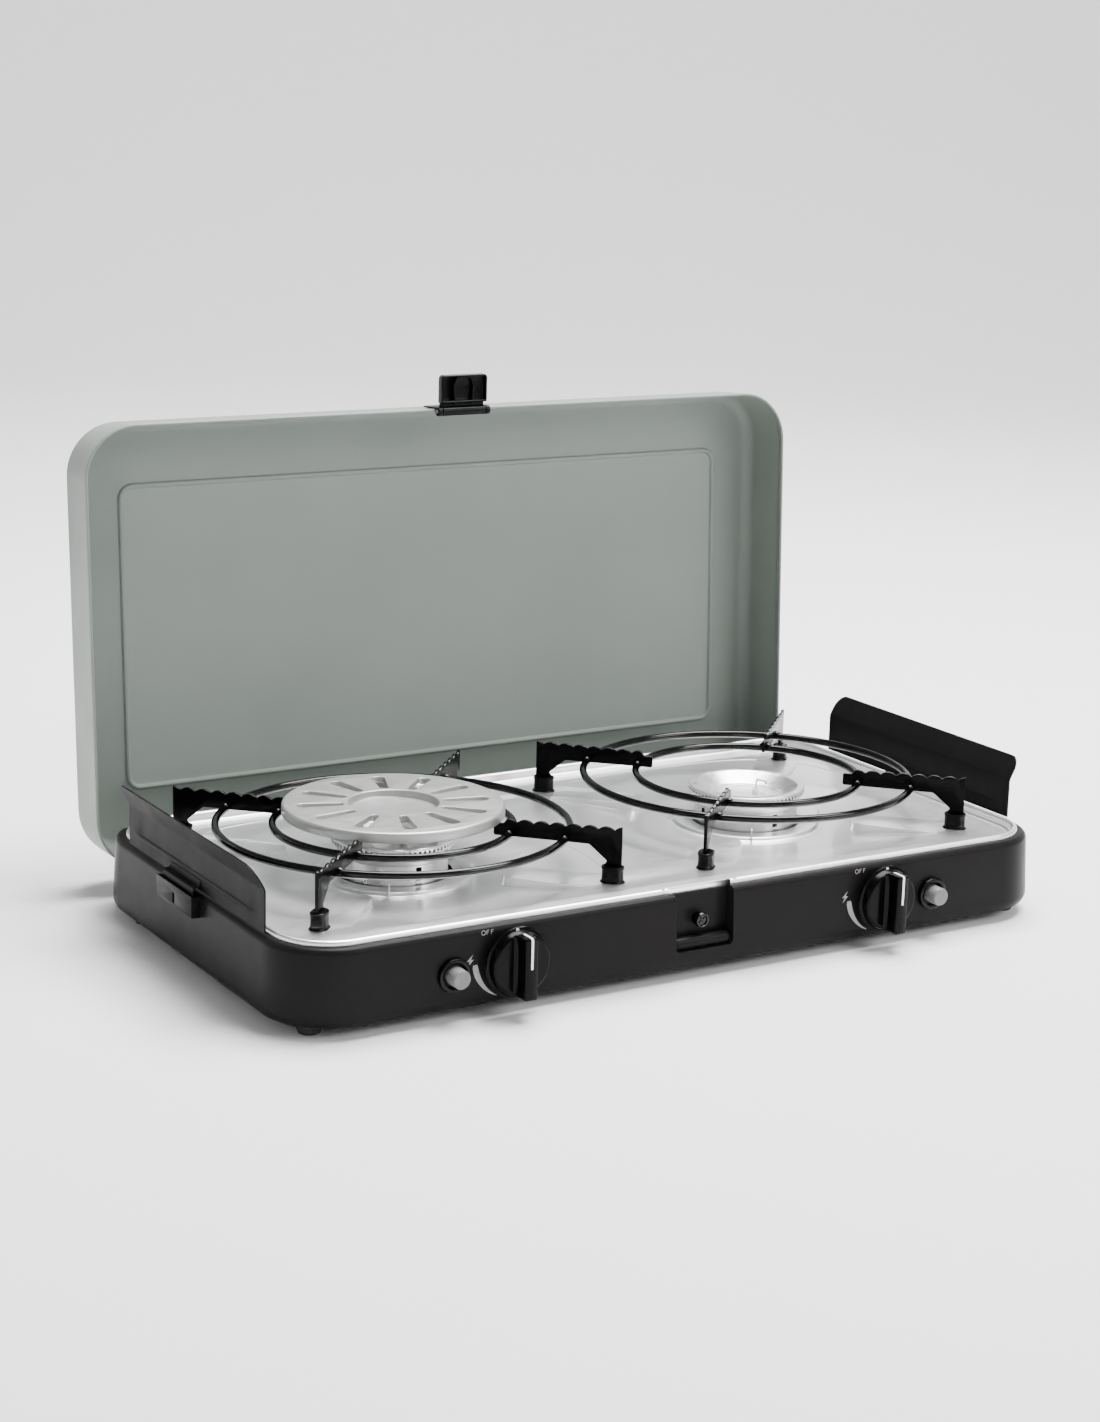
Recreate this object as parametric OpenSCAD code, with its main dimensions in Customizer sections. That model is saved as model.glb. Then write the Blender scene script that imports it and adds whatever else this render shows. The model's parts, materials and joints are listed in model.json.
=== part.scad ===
// Two-burner folding camping stove, drawn open and ready to use.
// Millimetres. X runs right, Y runs back, Z runs up. The origin is on the ground,
// under the middle of the stove's open outline. Most parts are drawn from the middle of
// the casing's front face, and from_front() moves them to the origin.

/* [Casing] */
// Width of the black casing over its side walls
casing_w = 544; // [400:1:700]
// Depth of the casing from front wall to rear wall
casing_d = 293; // [220:1:400]
// Plan radius of the casing's corners
casing_r = 42.5; // [20:0.5:60]
// Height of the casing's top edge above the ground
casing_top = 53; // [40:0.5:80]
// How far each wall leans in from bottom to top
casing_lean = 1.9; // [0:0.1:5]
// Sheet thickness of casing, lid and tray
sheet = 0.8; // [0.5:0.1:1.5]
// Height of the rubber feet
foot_h = 5.5; // [3:0.5:12]

/* [Cooking] */
// Distance of each burner from the middle
burner_x = 132; // [90:1:200]
// Distance of the burners behind the front face
burner_y = 150; // [100:1:200]
// Outer radius of the burner heads
head_r = 38.4; // [25:0.1:60]
// Middle height of the pan-support rings
ring_z = 73.5; // [60:0.5:90]
// Wire diameter of the rings
wire_d = 5; // [3:0.5:8]
// Radius of the outer ring, to the wire's middle
ring_out = 108.6; // [80:0.1:120]
// Radius of the inner ring, to the wire's middle
ring_in = 73.9; // [50:0.1:80]
// Radius of the loose heat plate
disc_r = 68.5; // [50:0.5:72]

/* [Controls] */
// Height of the knobs' axes
knob_z = 31.5; // [20:0.5:40]
// Radius of a knob's skirt
knob_r = 21; // [12:0.5:25]
// Distance of each igniter button from the middle
igniter_x = 171; // [140:1:230]
// Thread diameter of the gas inlet
inlet_d = 13.157; // [8:0.001:20]

/* [Lid] */
// Width of the lid
lid_w = 532; // [400:1:700]
// Size of the lid from front to back when closed
lid_d = 286; // [200:1:400]
// Drawn depth of the lid
lid_h = 43; // [25:1:70]
// Opening angle of the lid as drawn
lid_open = 92.7; // [0:0.1:95]
// Turn of the latch flap away from its closed place, as drawn
latch_open = 87.3; // [0:0.1:90]
// Height of each windshield's straight part's top edge
shield_bend = 80; // [65:1:100]

/* [Hidden] */
$fn = 96;
origin_y = 167;
tray_w = 528;
tray_front = 8;
tray_rear = 283.5;
tray_r = 34.5;
tray_mid = (tray_front + tray_rear) / 2;
deck = 49.2;
bowl_r = 112; // radius where a bowl meets the deck
bowl_floor = 41.4;
hinge_y = 276.5;
hinge_z = 31.4;
arm_x = 215;
latch_y = 5;
latch_z = 50;
igniter_z = 28.3;
recess_w = 40;
shield_front = 44;
shield_back = 240;
shield_in = 267;
lid_front = 3.5;
lid_rim = 53.3;
lid_r = 35;
wire_r = wire_d / 2;
inlet_y = 225;
inlet_z = 28;
pipe_r = 4;
pipe_z = 16;
pipe_y = 28;
foot_points = [[-250, 24], [250, 24], [-256, 244], [256, 244]];
valve_rivets = [for (side = [-1, 1]) for (dx = [-11, 11]) [side * burner_x + dx, 22]];
stand_rivets = [for (side = [-1, 1]) for (dx = [-37, 37]) [side * burner_x + dx, burner_y]];
hinge_rivets_floor = [for (side = [-1, 1]) for (y = [262, 280]) [side * (arm_x - 8), y]];
floor_rivets = concat(valve_rivets, stand_rivets, hinge_rivets_floor);

black = [0.06, 0.06, 0.065];
steel = [0.8, 0.8, 0.8];
sage = [0.58, 0.61, 0.58];
brass = [0.75, 0.6, 0.3];
cast = [0.62, 0.63, 0.64];
white = [0.92, 0.92, 0.9];

// Points of a circular arc, for use inside a flat profile
function arc(cx, cy, r, from, to, steps = 6) =
    [for (i = [0 : steps]) let (a = from + (to - from) * i / steps) [cx + r * cos(a), cy + r * sin(a)]];

module from_front() {
    translate([0, -origin_y, 0]) children();
}

// Turns a lid part from its closed place to the drawn opening
module opened() {
    translate([0, hinge_y, hinge_z]) rotate([-lid_open, 0, 0]) translate([0, -hinge_y, -hinge_z]) children();
}

// A flat rounded rectangle about the middle
module rounded(half_x, half_y, r) {
    square([2 * half_x, 2 * (half_y - r)], center = true);
    square([2 * (half_x - r), 2 * half_y], center = true);
    for (sx = [-1, 1]) for (sy = [-1, 1]) translate([sx * (half_x - r), sy * (half_y - r)]) circle(r = r);
}

// Runs a flat profile around a rounded rectangle; its x is measured from the corners' centres
module around(half_x, half_y, r) {
    for (i = [0 : 3]) {
        sx = (i == 0 || i == 3) ? 1 : -1;
        sy = (i < 2) ? 1 : -1;
        translate([sx * (half_x - r), sy * (half_y - r), 0])
            rotate([0, 0, 90 * i]) rotate_extrude(angle = 90) children();
    }
    for (turn = [0, 180]) {
        rotate([0, 0, turn]) translate([half_x - r, 0, 0]) rotate([90, 0, 0])
            linear_extrude(height = 2 * (half_y - r), center = true) children();
        rotate([0, 0, 90 + turn]) translate([half_y - r, 0, 0]) rotate([90, 0, 0])
            linear_extrude(height = 2 * (half_x - r), center = true) children();
    }
}

// Frame of a front control: local z points out of the front panel and local y points up
module on_front(x, z) {
    translate([x, 0, z]) rotate([90, 0, 0]) children();
}

// Everything behind the leaning outer face of the front wall
module behind_front(extra = 0) {
    rotate([90, 0, 90]) linear_extrude(height = casing_w, center = true)
        polygon([[extra, foot_h + 8], [casing_lean + extra, 49], [30, 49], [30, foot_h + 8]]);
}

module at_burner(side) {
    translate([side * burner_x, burner_y, 0]) children();
}

// ---------------------------------------------------------------- casing and tray

module casing_profile() {
    r = casing_r;
    polygon(concat(
        [[r - 8, foot_h]],
        arc(r - 8, foot_h + 8, 8, -90, 0),
        arc(r - casing_lean - 4, 49, 4, 0, 90),
        [[r - 9, casing_top], [r - 9, casing_top - 2.5], [r - 9 + sheet, casing_top - 2.5],
         [r - 9 + sheet, casing_top - sheet]],
        arc(r - casing_lean - 4, 49, 4 - sheet, 90, 0),
        arc(r - 8, foot_h + 8, 8 - sheet, 0, -90)));
}

module shield_pocket() {
    difference() {
        translate([269.9, 127, 39.5]) cube([6.1, 52, 13.5]);
        translate([269, 127.8, 40.3]) cube([6.2, 50.4, 20]);
        translate([270, 152.2, 42]) cube([10, 2.6, 6]);
    }
}

module base_casing() color(black) from_front() {
    difference() {
        union() {
            translate([0, casing_d / 2, 0]) {
                around(casing_w / 2, casing_d / 2, casing_r) casing_profile();
                translate([0, 0, foot_h]) linear_extrude(height = sheet)
                    rounded(casing_w / 2 - 8, casing_d / 2 - 8, casing_r - 8);
            }
            translate([-recess_w / 2 - sheet, 0.9, 16.7]) cube([recess_w + 2 * sheet, 9.9, 34.3]);
            for (side = [0, 1]) mirror([side, 0, 0]) shield_pocket();
        }
        translate([-recess_w / 2, -1, 17.5]) cube([recess_w, 11, 50]);
        translate([-300, hinge_y, deck]) cube([600, 60, 20]);
        for (side = [-1, 1]) {
            translate([side * arm_x - 3.3, 284, 14.5]) cube([6.6, 20, 40]);
            on_front(side * burner_x, knob_z) cylinder(r = 5, h = 20, center = true);
            on_front(side * igniter_x, igniter_z) cylinder(r = 8.5, h = 20, center = true);
        }
        translate([250, inlet_y, inlet_z]) rotate([0, 90, 0]) cylinder(r = 8, h = 40);
        for (p = foot_points) translate([p[0], p[1], 0]) cylinder(r = 2, h = 20);
        for (p = floor_rivets) translate([p[0], p[1], 0]) cylinder(r = 1.6, h = 20);
        on_front(0, 34.5) translate([0, 0, -20]) cylinder(r = 2, h = 12);
    }
    translate([0, 8, 21.7]) rotate([0, 90, 0]) difference() {
        cylinder(r = 3.4, h = recess_w, center = true);
        translate([-10, 2, -50]) cube([20, 20, 100]);
    }
}

module tray_profile() {
    polygon(concat(
        [[22, deck], [22, deck + 0.6], [29.9, deck + 0.6], [30.5, deck + 1.2]],
        arc(32.5, 54, 2, 180, 0, 8),
        [[34.5, 53.2], [33.9, 53.2]],
        arc(32.5, 54, 1.4, 0, 180, 8),
        [[31.1, deck + 0.9], [30.3, deck]]));
}

module pad_outline(inset) {
    polygon([[84 + inset, -9 + inset], [118 - inset, -17 + inset],
        [118 - inset, 17 - inset], [84 + inset, 9 - inset]]);
}

// The space of a shallow cone from the burner seat up to the deck
module bowl_cone() {
    cylinder(r1 = 52, r2 = bowl_r, h = deck - bowl_floor);
}

module drip_tray() color(steel) from_front() difference() {
    union() {
        difference() {
            union() {
                translate([0, tray_mid, 0]) {
                    around(tray_w / 2, (tray_rear - tray_front) / 2, tray_r) tray_profile();
                    translate([0, 0, deck]) linear_extrude(height = 0.6)
                        rounded(tray_w / 2 - 12.5, (tray_rear - tray_front) / 2 - 12.5, 22);
                }
                for (side = [-1, 1]) at_burner(side) translate([0, 0, bowl_floor]) bowl_cone();
            }
            for (side = [-1, 1]) at_burner(side) translate([0, 0, bowl_floor + 0.6]) bowl_cone();
        }
        for (side = [-1, 1]) at_burner(side) {
            difference() {
                for (i = [0 : 3]) rotate([0, 0, 45 + 90 * i]) translate([0, 0, bowl_floor + 0.3])
                    linear_extrude(height = deck + 0.3 - bowl_floor) pad_outline(0);
                for (i = [0 : 3]) rotate([0, 0, 45 + 90 * i]) translate([0, 0, bowl_floor - 1])
                    linear_extrude(height = deck + 1 - bowl_floor) pad_outline(0.7);
                difference() {
                    translate([0, 0, 30]) cylinder(r = bowl_r, h = deck - 30);
                    translate([0, 0, bowl_floor]) bowl_cone();
                }
            }
            translate([0, 0, bowl_floor + 0.3]) cylinder(r1 = 49, r2 = 47.5, h = 2.4);
        }
    }
    for (side = [-1, 1]) at_burner(side) {
        translate([0, 0, bowl_floor - 1]) cylinder(r = 36.8, h = 20);
        translate([0, 0, bowl_floor - 1]) cylinder(r = 46.8, h = 3);
    }
    translate([-recess_w / 2 - 3, 0, deck + 2]) cube([recess_w + 6, 10.9, 20]);
}

module rubber_feet() color(black) from_front() for (p = foot_points) translate([p[0], p[1], 0])
    difference() {
        union() {
            cylinder(r1 = 6.2, r2 = 6.9, h = 1.5);
            translate([0, 0, 1.5]) cylinder(r = 6.9, h = foot_h - 1.5);
        }
        translate([0, 0, -1]) cylinder(r = 3.7, h = 3.4);
        cylinder(r = 2, h = foot_h + 1);
    }

module foot_screws() color(steel) from_front() for (p = foot_points) translate([p[0], p[1], 0])
    difference() {
        union() {
            translate([0, 0, 0.9]) cylinder(r = 3.6, h = 1.5);
            translate([0, 0, 2]) cylinder(r = 2, h = 8.4);
        }
        for (a = [0, 90]) rotate([0, 0, a]) translate([-2, -0.4, 0.5]) cube([4, 0.8, 1.2]);
    }

module foot_nuts() color(steel) from_front() for (p = foot_points)
    translate([p[0], p[1], foot_h + sheet]) difference() {
        cylinder(r = 4, h = 3, $fn = 6);
        translate([0, 0, -1]) cylinder(r = 2, h = 5);
    }

module catch_stud() color(black) from_front() on_front(0, 34.5) difference() {
    union() {
        translate([0, 0, -13]) cylinder(r = 2, h = 5);
        translate([0, 0, -10]) cylinder(r = 4, h = 3.5);
        translate([0, 0, -6.5]) cylinder(r1 = 4.8, r2 = 4.2, h = 3.1);
    }
    for (a = [45, 135]) rotate([0, 0, a]) translate([-2.6, -0.5, -4.6]) cube([5.2, 1, 3]);
}

module support_sockets() color(black) from_front() for (side = [-1, 1]) at_burner(side)
    for (i = [0 : 3]) rotate([0, 0, 45 + 90 * i]) translate([0, 0, deck + 0.6]) difference() {
        union() {
            for (r = [136.8, 143.2]) translate([r, 0, 0]) cylinder(r = 5, h = 10.4);
            translate([136.8, -5, 0]) cube([6.4, 10, 10.4]);
        }
        translate([132.1, -1.5, 1]) cube([12.4, 3, 20]);
    }

module floor_rivets_set() color(steel) from_front() for (p = floor_rivets) translate([p[0], p[1], 0]) {
    translate([0, 0, foot_h - 0.8]) cylinder(r = 3, h = 0.8);
    translate([0, 0, foot_h - 0.4]) cylinder(r = 1.6, h = 4);
    translate([0, 0, foot_h + sheet + 1.5]) cylinder(r1 = 2.8, r2 = 2.2, h = 1);
}

// ---------------------------------------------------------------- hinges

module hinge_bracket(side) color(steel) from_front() difference() {
    scale([side, 1, 1]) translate([arm_x - 3.4, 0, 0]) {
        rotate([90, 0, 90]) linear_extrude(height = 2) {
            translate([hinge_y, hinge_z]) circle(r = 6);
            polygon([[256, foot_h + sheet], [284.5, foot_h + sheet], [hinge_y + 6, hinge_z],
                [hinge_y - 6, hinge_z]]);
        }
        translate([-12, 256, foot_h + sheet]) cube([12, 28.5, 1.5]);
    }
    translate([0, hinge_y, hinge_z]) rotate([0, 90, 0]) cylinder(r = 3, h = 600, center = true);
    for (p = floor_rivets) translate([p[0], p[1], 0]) cylinder(r = 1.6, h = 20);
}

module left_hinge_bracket() hinge_bracket(-1);
module right_hinge_bracket() hinge_bracket(1);

module hinge_pins() color(steel) from_front() for (side = [-1, 1])
    translate([side * arm_x, hinge_y, hinge_z]) rotate([0, 90 * side, 0]) {
        translate([0, 0, -6]) cylinder(r = 3, h = 8.6);
        translate([0, 0, 1.5]) cylinder(r = 4.6, h = 1.2);
        translate([0, 0, -5.2]) cylinder(r = 4.4, h = 1.8);
    }

module hinge_arm(side) color(steel) from_front() opened() scale([side, 1, 1]) difference() {
    union() {
        translate([arm_x - 1, hinge_y, hinge_z]) rotate([90, 0, 90]) linear_extrude(height = 2) {
            circle(r = 6);
            polygon([[-4.9, 3.5], [7.8, 19], [7.8, 48.6], [12.2, 48.6], [12.2, 26.4], [11, 25.4], [11, 12.4],
                [5.6, -2.4]]);
        }
        translate([arm_x - 1, hinge_y + 10.7, hinge_z + 26.4]) cube([14, 1.5, 22.2]);
    }
    translate([arm_x - 5, hinge_y, hinge_z]) rotate([0, 90, 0]) cylinder(r = 3.05, h = 10);
    for (z = [31, 43]) translate([arm_x + 8, hinge_y + 5, hinge_z + z])
        rotate([-90, 0, 0]) cylinder(r = 1.6, h = 20);
}

module left_hinge_arm() hinge_arm(-1);
module right_hinge_arm() hinge_arm(1);

module hinge_rivets() color(steel) from_front() opened() for (side = [-1, 1]) for (z = [31, 43])
    translate([side * (arm_x + 8), lid_front + lid_d, hinge_z + z]) rotate([-90, 0, 0]) {
        translate([0, 0, -3.2]) cylinder(r = 1.6, h = 3.3);
        cylinder(r1 = 3, r2 = 2.2, h = 1);
        translate([0, 0, -3.2]) cylinder(r = 2.6, h = 0.9);
    }

// ---------------------------------------------------------------- lid and latch

module lid_profile() {
    r = lid_r;
    t = sheet;
    top = lid_rim + lid_h;
    polygon(concat(
        [[r - 1.6, lid_rim], [r, lid_rim]],
        arc(r - 9, top - 9, 9, 0, 90),
        arc(r - 9, top - 9, 9 - t, 90, 0),
        [[r - t, lid_rim + 3.6], [r - 1.6, lid_rim + 3]]));
}

module groove(width, low, high) {
    around(229.5, 99.3, 13) polygon([[13 - width / 2, low], [13 + width / 2, low], [13 + width / 2, high],
        [13 - width / 2, high]]);
}

module lid_shell() color(sage) from_front() opened() difference() {
    union() {
        translate([0, lid_front + lid_d / 2, 0]) {
            around(lid_w / 2, lid_d / 2, lid_r) lid_profile();
            translate([0, 0, lid_rim + lid_h - sheet]) linear_extrude(height = sheet)
                rounded(lid_w / 2 - 9, lid_d / 2 - 9, lid_r - 9);
            groove(4, lid_rim + lid_h - sheet - 1, lid_rim + lid_h - sheet);
        }
    }
    translate([0, lid_front + lid_d / 2, 0]) groove(2.4, lid_rim + lid_h - sheet - 0.2, lid_rim + lid_h + 1);
    for (side = [-1, 1]) for (z = [31, 43]) translate([side * (arm_x + 8), 280, hinge_z + z])
        rotate([-90, 0, 0]) cylinder(r = 1.6, h = 20);
    for (x = [-10, 10]) translate([x, -5, 62.5]) rotate([-90, 0, 0]) cylinder(r = 1.6, h = 20);
}

module latch_bracket() color(black) from_front() opened() difference() {
    union() {
        translate([-19.5, lid_front - 1.2, lid_rim + 1.5]) cube([39, 1.2, 15]);
        for (x = [-19.5, 16.5]) translate([x, 0, 0]) rotate([90, 0, 90]) linear_extrude(height = 3) {
            translate([latch_y, latch_z]) circle(r = 3);
            polygon([[2, 50], [lid_front - 1.2, 56], [lid_front, 56], [lid_front, 52.4], [latch_y, 50]]);
        }
    }
    translate([0, latch_y, latch_z]) rotate([0, 90, 0]) cylinder(r = 1.2, h = 60, center = true);
    for (x = [-10, 10]) translate([x, -5, 62.5]) rotate([-90, 0, 0]) cylinder(r = 1.6, h = 20);
}

module latch_pin() color(steel) from_front() opened() {
    translate([0, latch_y, latch_z]) rotate([0, 90, 0]) cylinder(r = 1.2, h = 40, center = true);
    for (x = [-10, 10]) translate([x, lid_front, 62.5]) rotate([-90, 0, 0]) {
        translate([0, 0, -2]) cylinder(r1 = 1.9, r2 = 2.6, h = 0.8);
        translate([0, 0, -1.5]) cylinder(r = 1.6, h = 3.2);
        translate([0, 0, sheet]) cylinder(r1 = 2.6, r2 = 1.9, h = 0.8);
    }
}

module latch_flap() color(black) from_front() opened()
    translate([0, latch_y, latch_z]) rotate([-latch_open, 0, 0]) difference() {
        union() {
            rotate([0, 90, 0]) cylinder(r = 3, h = 32.4, center = true);
            translate([-17.25, -3.8, -24]) cube([34.5, 1.2, 18.2]);
            translate([-16.2, -3.8, -6]) cube([32.4, 3, 4]);
            for (x = [-17.25, 16.05]) translate([x, -3.8, -24]) cube([1.2, 5.8, 20.5]);
            translate([-17.25, -3.8, -24]) cube([34.5, 5.8, 1.2]);
            for (x = [-6.6, 5.4]) translate([x, -3.8, -23]) cube([1.2, 4.8, 19]);
        }
        rotate([0, 90, 0]) cylinder(r = 1.25, h = 60, center = true);
    }

// ---------------------------------------------------------------- windshields

module shield_strip() {
    top = shield_bend;
    x = shield_in;
    polygon([[x, 54.5], [x + 1, 54.5], [x + 1, top - 0.3], [x + 9, top + 13.6], [x + 8.1, top + 14.1],
        [x, top]]);
}

module windshield(side) color(black) from_front() scale([side, 1, 1]) {
    intersection() {
        translate([0, shield_back, 0]) rotate([90, 0, 0])
            linear_extrude(height = shield_back - shield_front) shield_strip();
        translate([shield_in - 5, 0, 0]) rotate([90, 0, 90]) linear_extrude(height = 20) {
            translate([shield_front, 50]) square([shield_back - shield_front, 35]);
            translate([shield_front + 9, 50]) square([shield_back - shield_front - 18, 44.2]);
            for (y = [shield_front + 9, shield_back - 9]) translate([y, 85.2]) circle(r = 9);
        }
    }
    translate([shield_in + 0.4, 131, 56.4]) cube([5.6, 44, 1]);
    translate([shield_in + 5, 131, 42]) cube([1, 44, 15.4]);
}

module left_windshield() windshield(-1);
module right_windshield() windshield(1);

// ---------------------------------------------------------------- burners

module burner_stand(side) color(steel) from_front() difference() {
    at_burner(side) {
        translate([-32, -9, 22]) cube([64, 24, 2]);
        for (s = [-1, 1]) scale([s, 1, 1]) {
            translate([30, -9, foot_h + sheet]) cube([2, 24, 16]);
            translate([30, -9, foot_h + sheet]) cube([14, 24, 1.5]);
        }
    }
    for (p = floor_rivets) translate([p[0], p[1], 0]) cylinder(r = 1.6, h = 20);
    at_burner(side) for (x = [-15, 15]) translate([x, 0, 10]) cylinder(r = 2, h = 20);
}

module left_burner_stand() burner_stand(-1);
module right_burner_stand() burner_stand(1);

module burner_screws() color(steel) from_front() for (side = [-1, 1]) at_burner(side)
    for (x = [-15, 15]) translate([x, 0, 0]) {
        translate([0, 0, 19.6]) cylinder(r1 = 3.2, r2 = 3.6, h = 2.4);
        translate([0, 0, 21]) cylinder(r = 2, h = 5.4);
    }

module burner_body(side) color(cast) from_front() at_burner(side) difference() {
    union() {
        translate([0, 0, 24]) cylinder(r = 24, h = 16.8);
        translate([0, 0, 40]) cylinder(r = 13, h = 17.5);
        translate([0, -40, knob_z]) rotate([-90, 0, 0]) cylinder(r = 9.2, h = 30);
    }
    translate([0, 0, 27]) cylinder(r = 21, h = 11);
    translate([0, 0, 30]) cylinder(r = 10, h = 30);
    translate([0, -50, knob_z]) rotate([-90, 0, 0]) cylinder(r = 7.5, h = 30);
    for (x = [-15, 15]) translate([x, 0, 20]) cylinder(r = 2, h = 20);
}

module left_burner_body() burner_body(-1);
module right_burner_body() burner_body(1);

module burner_collar(side) color(steel) from_front() at_burner(side) difference() {
    union() {
        translate([0, 0, bowl_floor + 1.3]) cylinder(r = 41, h = 0.7);
        translate([0, 0, bowl_floor + 1.3]) cylinder(r = 34, h = 13.3);
    }
    cylinder(r = 33.3, h = 80);
    for (i = [0 : 3]) rotate([0, 0, 90 * i]) translate([30, -1.9, 46]) cube([10, 3.8, 8.5]);
}

module left_burner_collar() burner_collar(-1);
module right_burner_collar() burner_collar(1);

module burner_head(side) color(cast) from_front() at_burner(side) difference() {
    rotate_extrude() polygon([[0, 57.5], [29, 57.5], [30.2, 56.1], [34.3, 56.1], [35.2, 58.4], [37.9, 62.6],
        [head_r, 64], [head_r, 66.7], [37.7, 67.5], [33.8, 67.5], [32.6, 66.9], [24.5, 60.7], [23.4, 60],
        [0, 60]]);
    translate([6, -3, 50]) cylinder(r = 2.6, h = 20);
    for (i = [0 : 35]) rotate([0, 0, 10 * i + 5]) translate([26, -0.9, 63.6]) cube([16, 1.8, 1.7]);
}

module left_burner_head() burner_head(-1);
module right_burner_head() burner_head(1);

module electrode(side) color(white) from_front() at_burner(side) translate([6, -3, 0]) {
    translate([0, 0, 46]) cylinder(r = 2.6, h = 17);
    translate([0, 0, 63]) cylinder(r1 = 2.6, r2 = 1.7, h = 1.4);
}

module left_electrode() electrode(-1);
module right_electrode() electrode(1);

module spark_wire(side) color(steel) from_front() at_burner(side) translate([6, -3, 0]) {
    translate([0, 0, 64.4]) cylinder(r = 0.7, h = 5.4);
    translate([0, 0, 69.8]) sphere(r = 0.7);
    translate([0, 0, 69.8]) rotate([90, 0, 0]) cylinder(r = 0.7, h = 9.5);
}

module left_spark_wire() spark_wire(-1);
module right_spark_wire() spark_wire(1);

module mixing_tube(side) color(steel) from_front() translate([side * burner_x, 0, knob_z])
    rotate([-90, 0, 0]) difference() {
        translate([0, 0, 47]) cylinder(r = 7.5, h = 75);
        translate([0, 0, 46]) cylinder(r = 6.7, h = 77);
        translate([0, 0, 53]) rotate([0, 90, 0]) cylinder(r = 2.5, h = 20, center = true);
    }

module left_mixing_tube() mixing_tube(-1);
module right_mixing_tube() mixing_tube(1);

// ---------------------------------------------------------------- gas train

module jet(side) color(brass) from_front() translate([side * burner_x, 42, knob_z]) rotate([-90, 0, 0])
    difference() {
    union() {
        cylinder(r = 4.6, h = 3, $fn = 6);
        cylinder(r = 3.2, h = 7);
        translate([0, 0, 7]) cylinder(r1 = 3.2, r2 = 1.6, h = 1.6);
    }
    cylinder(r = 0.8, h = 10);
}

module left_jet() jet(-1);
module right_jet() jet(1);

module valve_body(side) color(brass) from_front() translate([side * burner_x, 0, 0]) difference() {
    union() {
        translate([0, 10, knob_z]) rotate([-90, 0, 0]) cylinder(r = 9, h = 24);
        translate([0, 34, knob_z]) rotate([-90, 0, 0]) cylinder(r = 6, h = 8);
        translate([-7, pipe_y - 7, pipe_z - 6]) cube([14, 14, 12]);
    }
    translate([0, 0, knob_z]) rotate([-90, 0, 0]) cylinder(r = 3.05, h = 17);
    translate([0, pipe_y, pipe_z]) rotate([0, 90, 0]) cylinder(r = pipe_r, h = 40, center = true);
}

module left_valve_body() valve_body(-1);
module right_valve_body() valve_body(1);

module valve_bracket(side) color(steel) from_front() difference() {
    translate([side * burner_x, 0, 0]) {
        translate([-16, 8, foot_h + sheet]) cube([32, 2, 34]);
        translate([-16, 8, foot_h + sheet]) cube([32, 20, 1.5]);
    }
    on_front(side * burner_x, knob_z) cylinder(r = 4, h = 40, center = true);
    for (p = floor_rivets) translate([p[0], p[1], 0]) cylinder(r = 1.6, h = 20);
}

module left_valve_bracket() valve_bracket(-1);
module right_valve_bracket() valve_bracket(1);

module manifold_pipe() color(brass) from_front() {
    translate([-burner_x - 9, pipe_y, pipe_z]) rotate([0, 90, 0]) cylinder(r = pipe_r, h = burner_x + 249);
    translate([240, pipe_y, pipe_z]) rotate([0, 90, 0]) cylinder(r = pipe_r, h = 1);
    translate([240, pipe_y + 14, pipe_z]) rotate([0, 0, -90]) rotate_extrude(angle = 90)
        translate([14, 0]) circle(r = pipe_r);
    translate([254, pipe_y + 14, pipe_z]) rotate([-90, 0, 0]) cylinder(r = pipe_r, h = inlet_y - pipe_y - 22);
}

module gas_inlet() color(brass) from_front() difference() {
    union() {
        translate([246, inlet_y - 8, 9]) cube([16, 16, 27]);
        translate([262, inlet_y, inlet_z]) rotate([0, 90, 0]) cylinder(r = 8, h = 9.6);
        translate([271.6, inlet_y, inlet_z]) rotate([0, 90, 0]) cylinder(d = inlet_d, h = 9);
    }
    translate([252, inlet_y, inlet_z]) rotate([0, 90, 0]) cylinder(r = 3.5, h = 40);
}

module inlet_nut() color(brass) from_front() translate([0, inlet_y, inlet_z]) rotate([0, 90, 0]) difference() {
    translate([0, 0, 265.2]) cylinder(r = 12.5, h = 4, $fn = 6);
    cylinder(r = 8, h = 300);
}

// ---------------------------------------------------------------- ignition

module igniter_bezel(side) color(black) from_front() difference() {
    on_front(side * igniter_x, igniter_z) difference() {
        union() {
            translate([0, 0, -2]) cylinder(r = 10.3, h = 3.6);
            translate([0, 0, 1.6]) cylinder(r1 = 10.3, r2 = 9.3, h = 0.9);
            translate([0, 0, -8]) cylinder(r = 8.5, h = 8);
        }
        translate([0, 0, -9]) cylinder(r = 6.8, h = 20);
    }
    difference() {
        behind_front();
        on_front(side * igniter_x, igniter_z) cylinder(r = 8.5, h = 40, center = true);
    }
}

module left_igniter_bezel() igniter_bezel(-1);
module right_igniter_bezel() igniter_bezel(1);

module piezo(side) color(white) from_front() on_front(side * igniter_x, igniter_z) difference() {
    union() {
        translate([0, 0, -34]) cylinder(r = 8.2, h = 26);
        translate([0, 0, -40]) cylinder(r = 4, h = 7);
    }
    translate([0, 0, -16]) cylinder(r = 4.4, h = 20);
}

module left_piezo() piezo(-1);
module right_piezo() piezo(1);

module igniter_button(side) color(steel) from_front() on_front(side * igniter_x, igniter_z) {
    translate([0, 0, -3]) cylinder(r = 6.4, h = 11.4);
    translate([0, 0, 8.4]) cylinder(r1 = 6.4, r2 = 5, h = 1.4);
    translate([0, 0, -11]) cylinder(r = 4, h = 9);
}

module left_igniter_button() igniter_button(-1);
module right_igniter_button() igniter_button(1);

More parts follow.
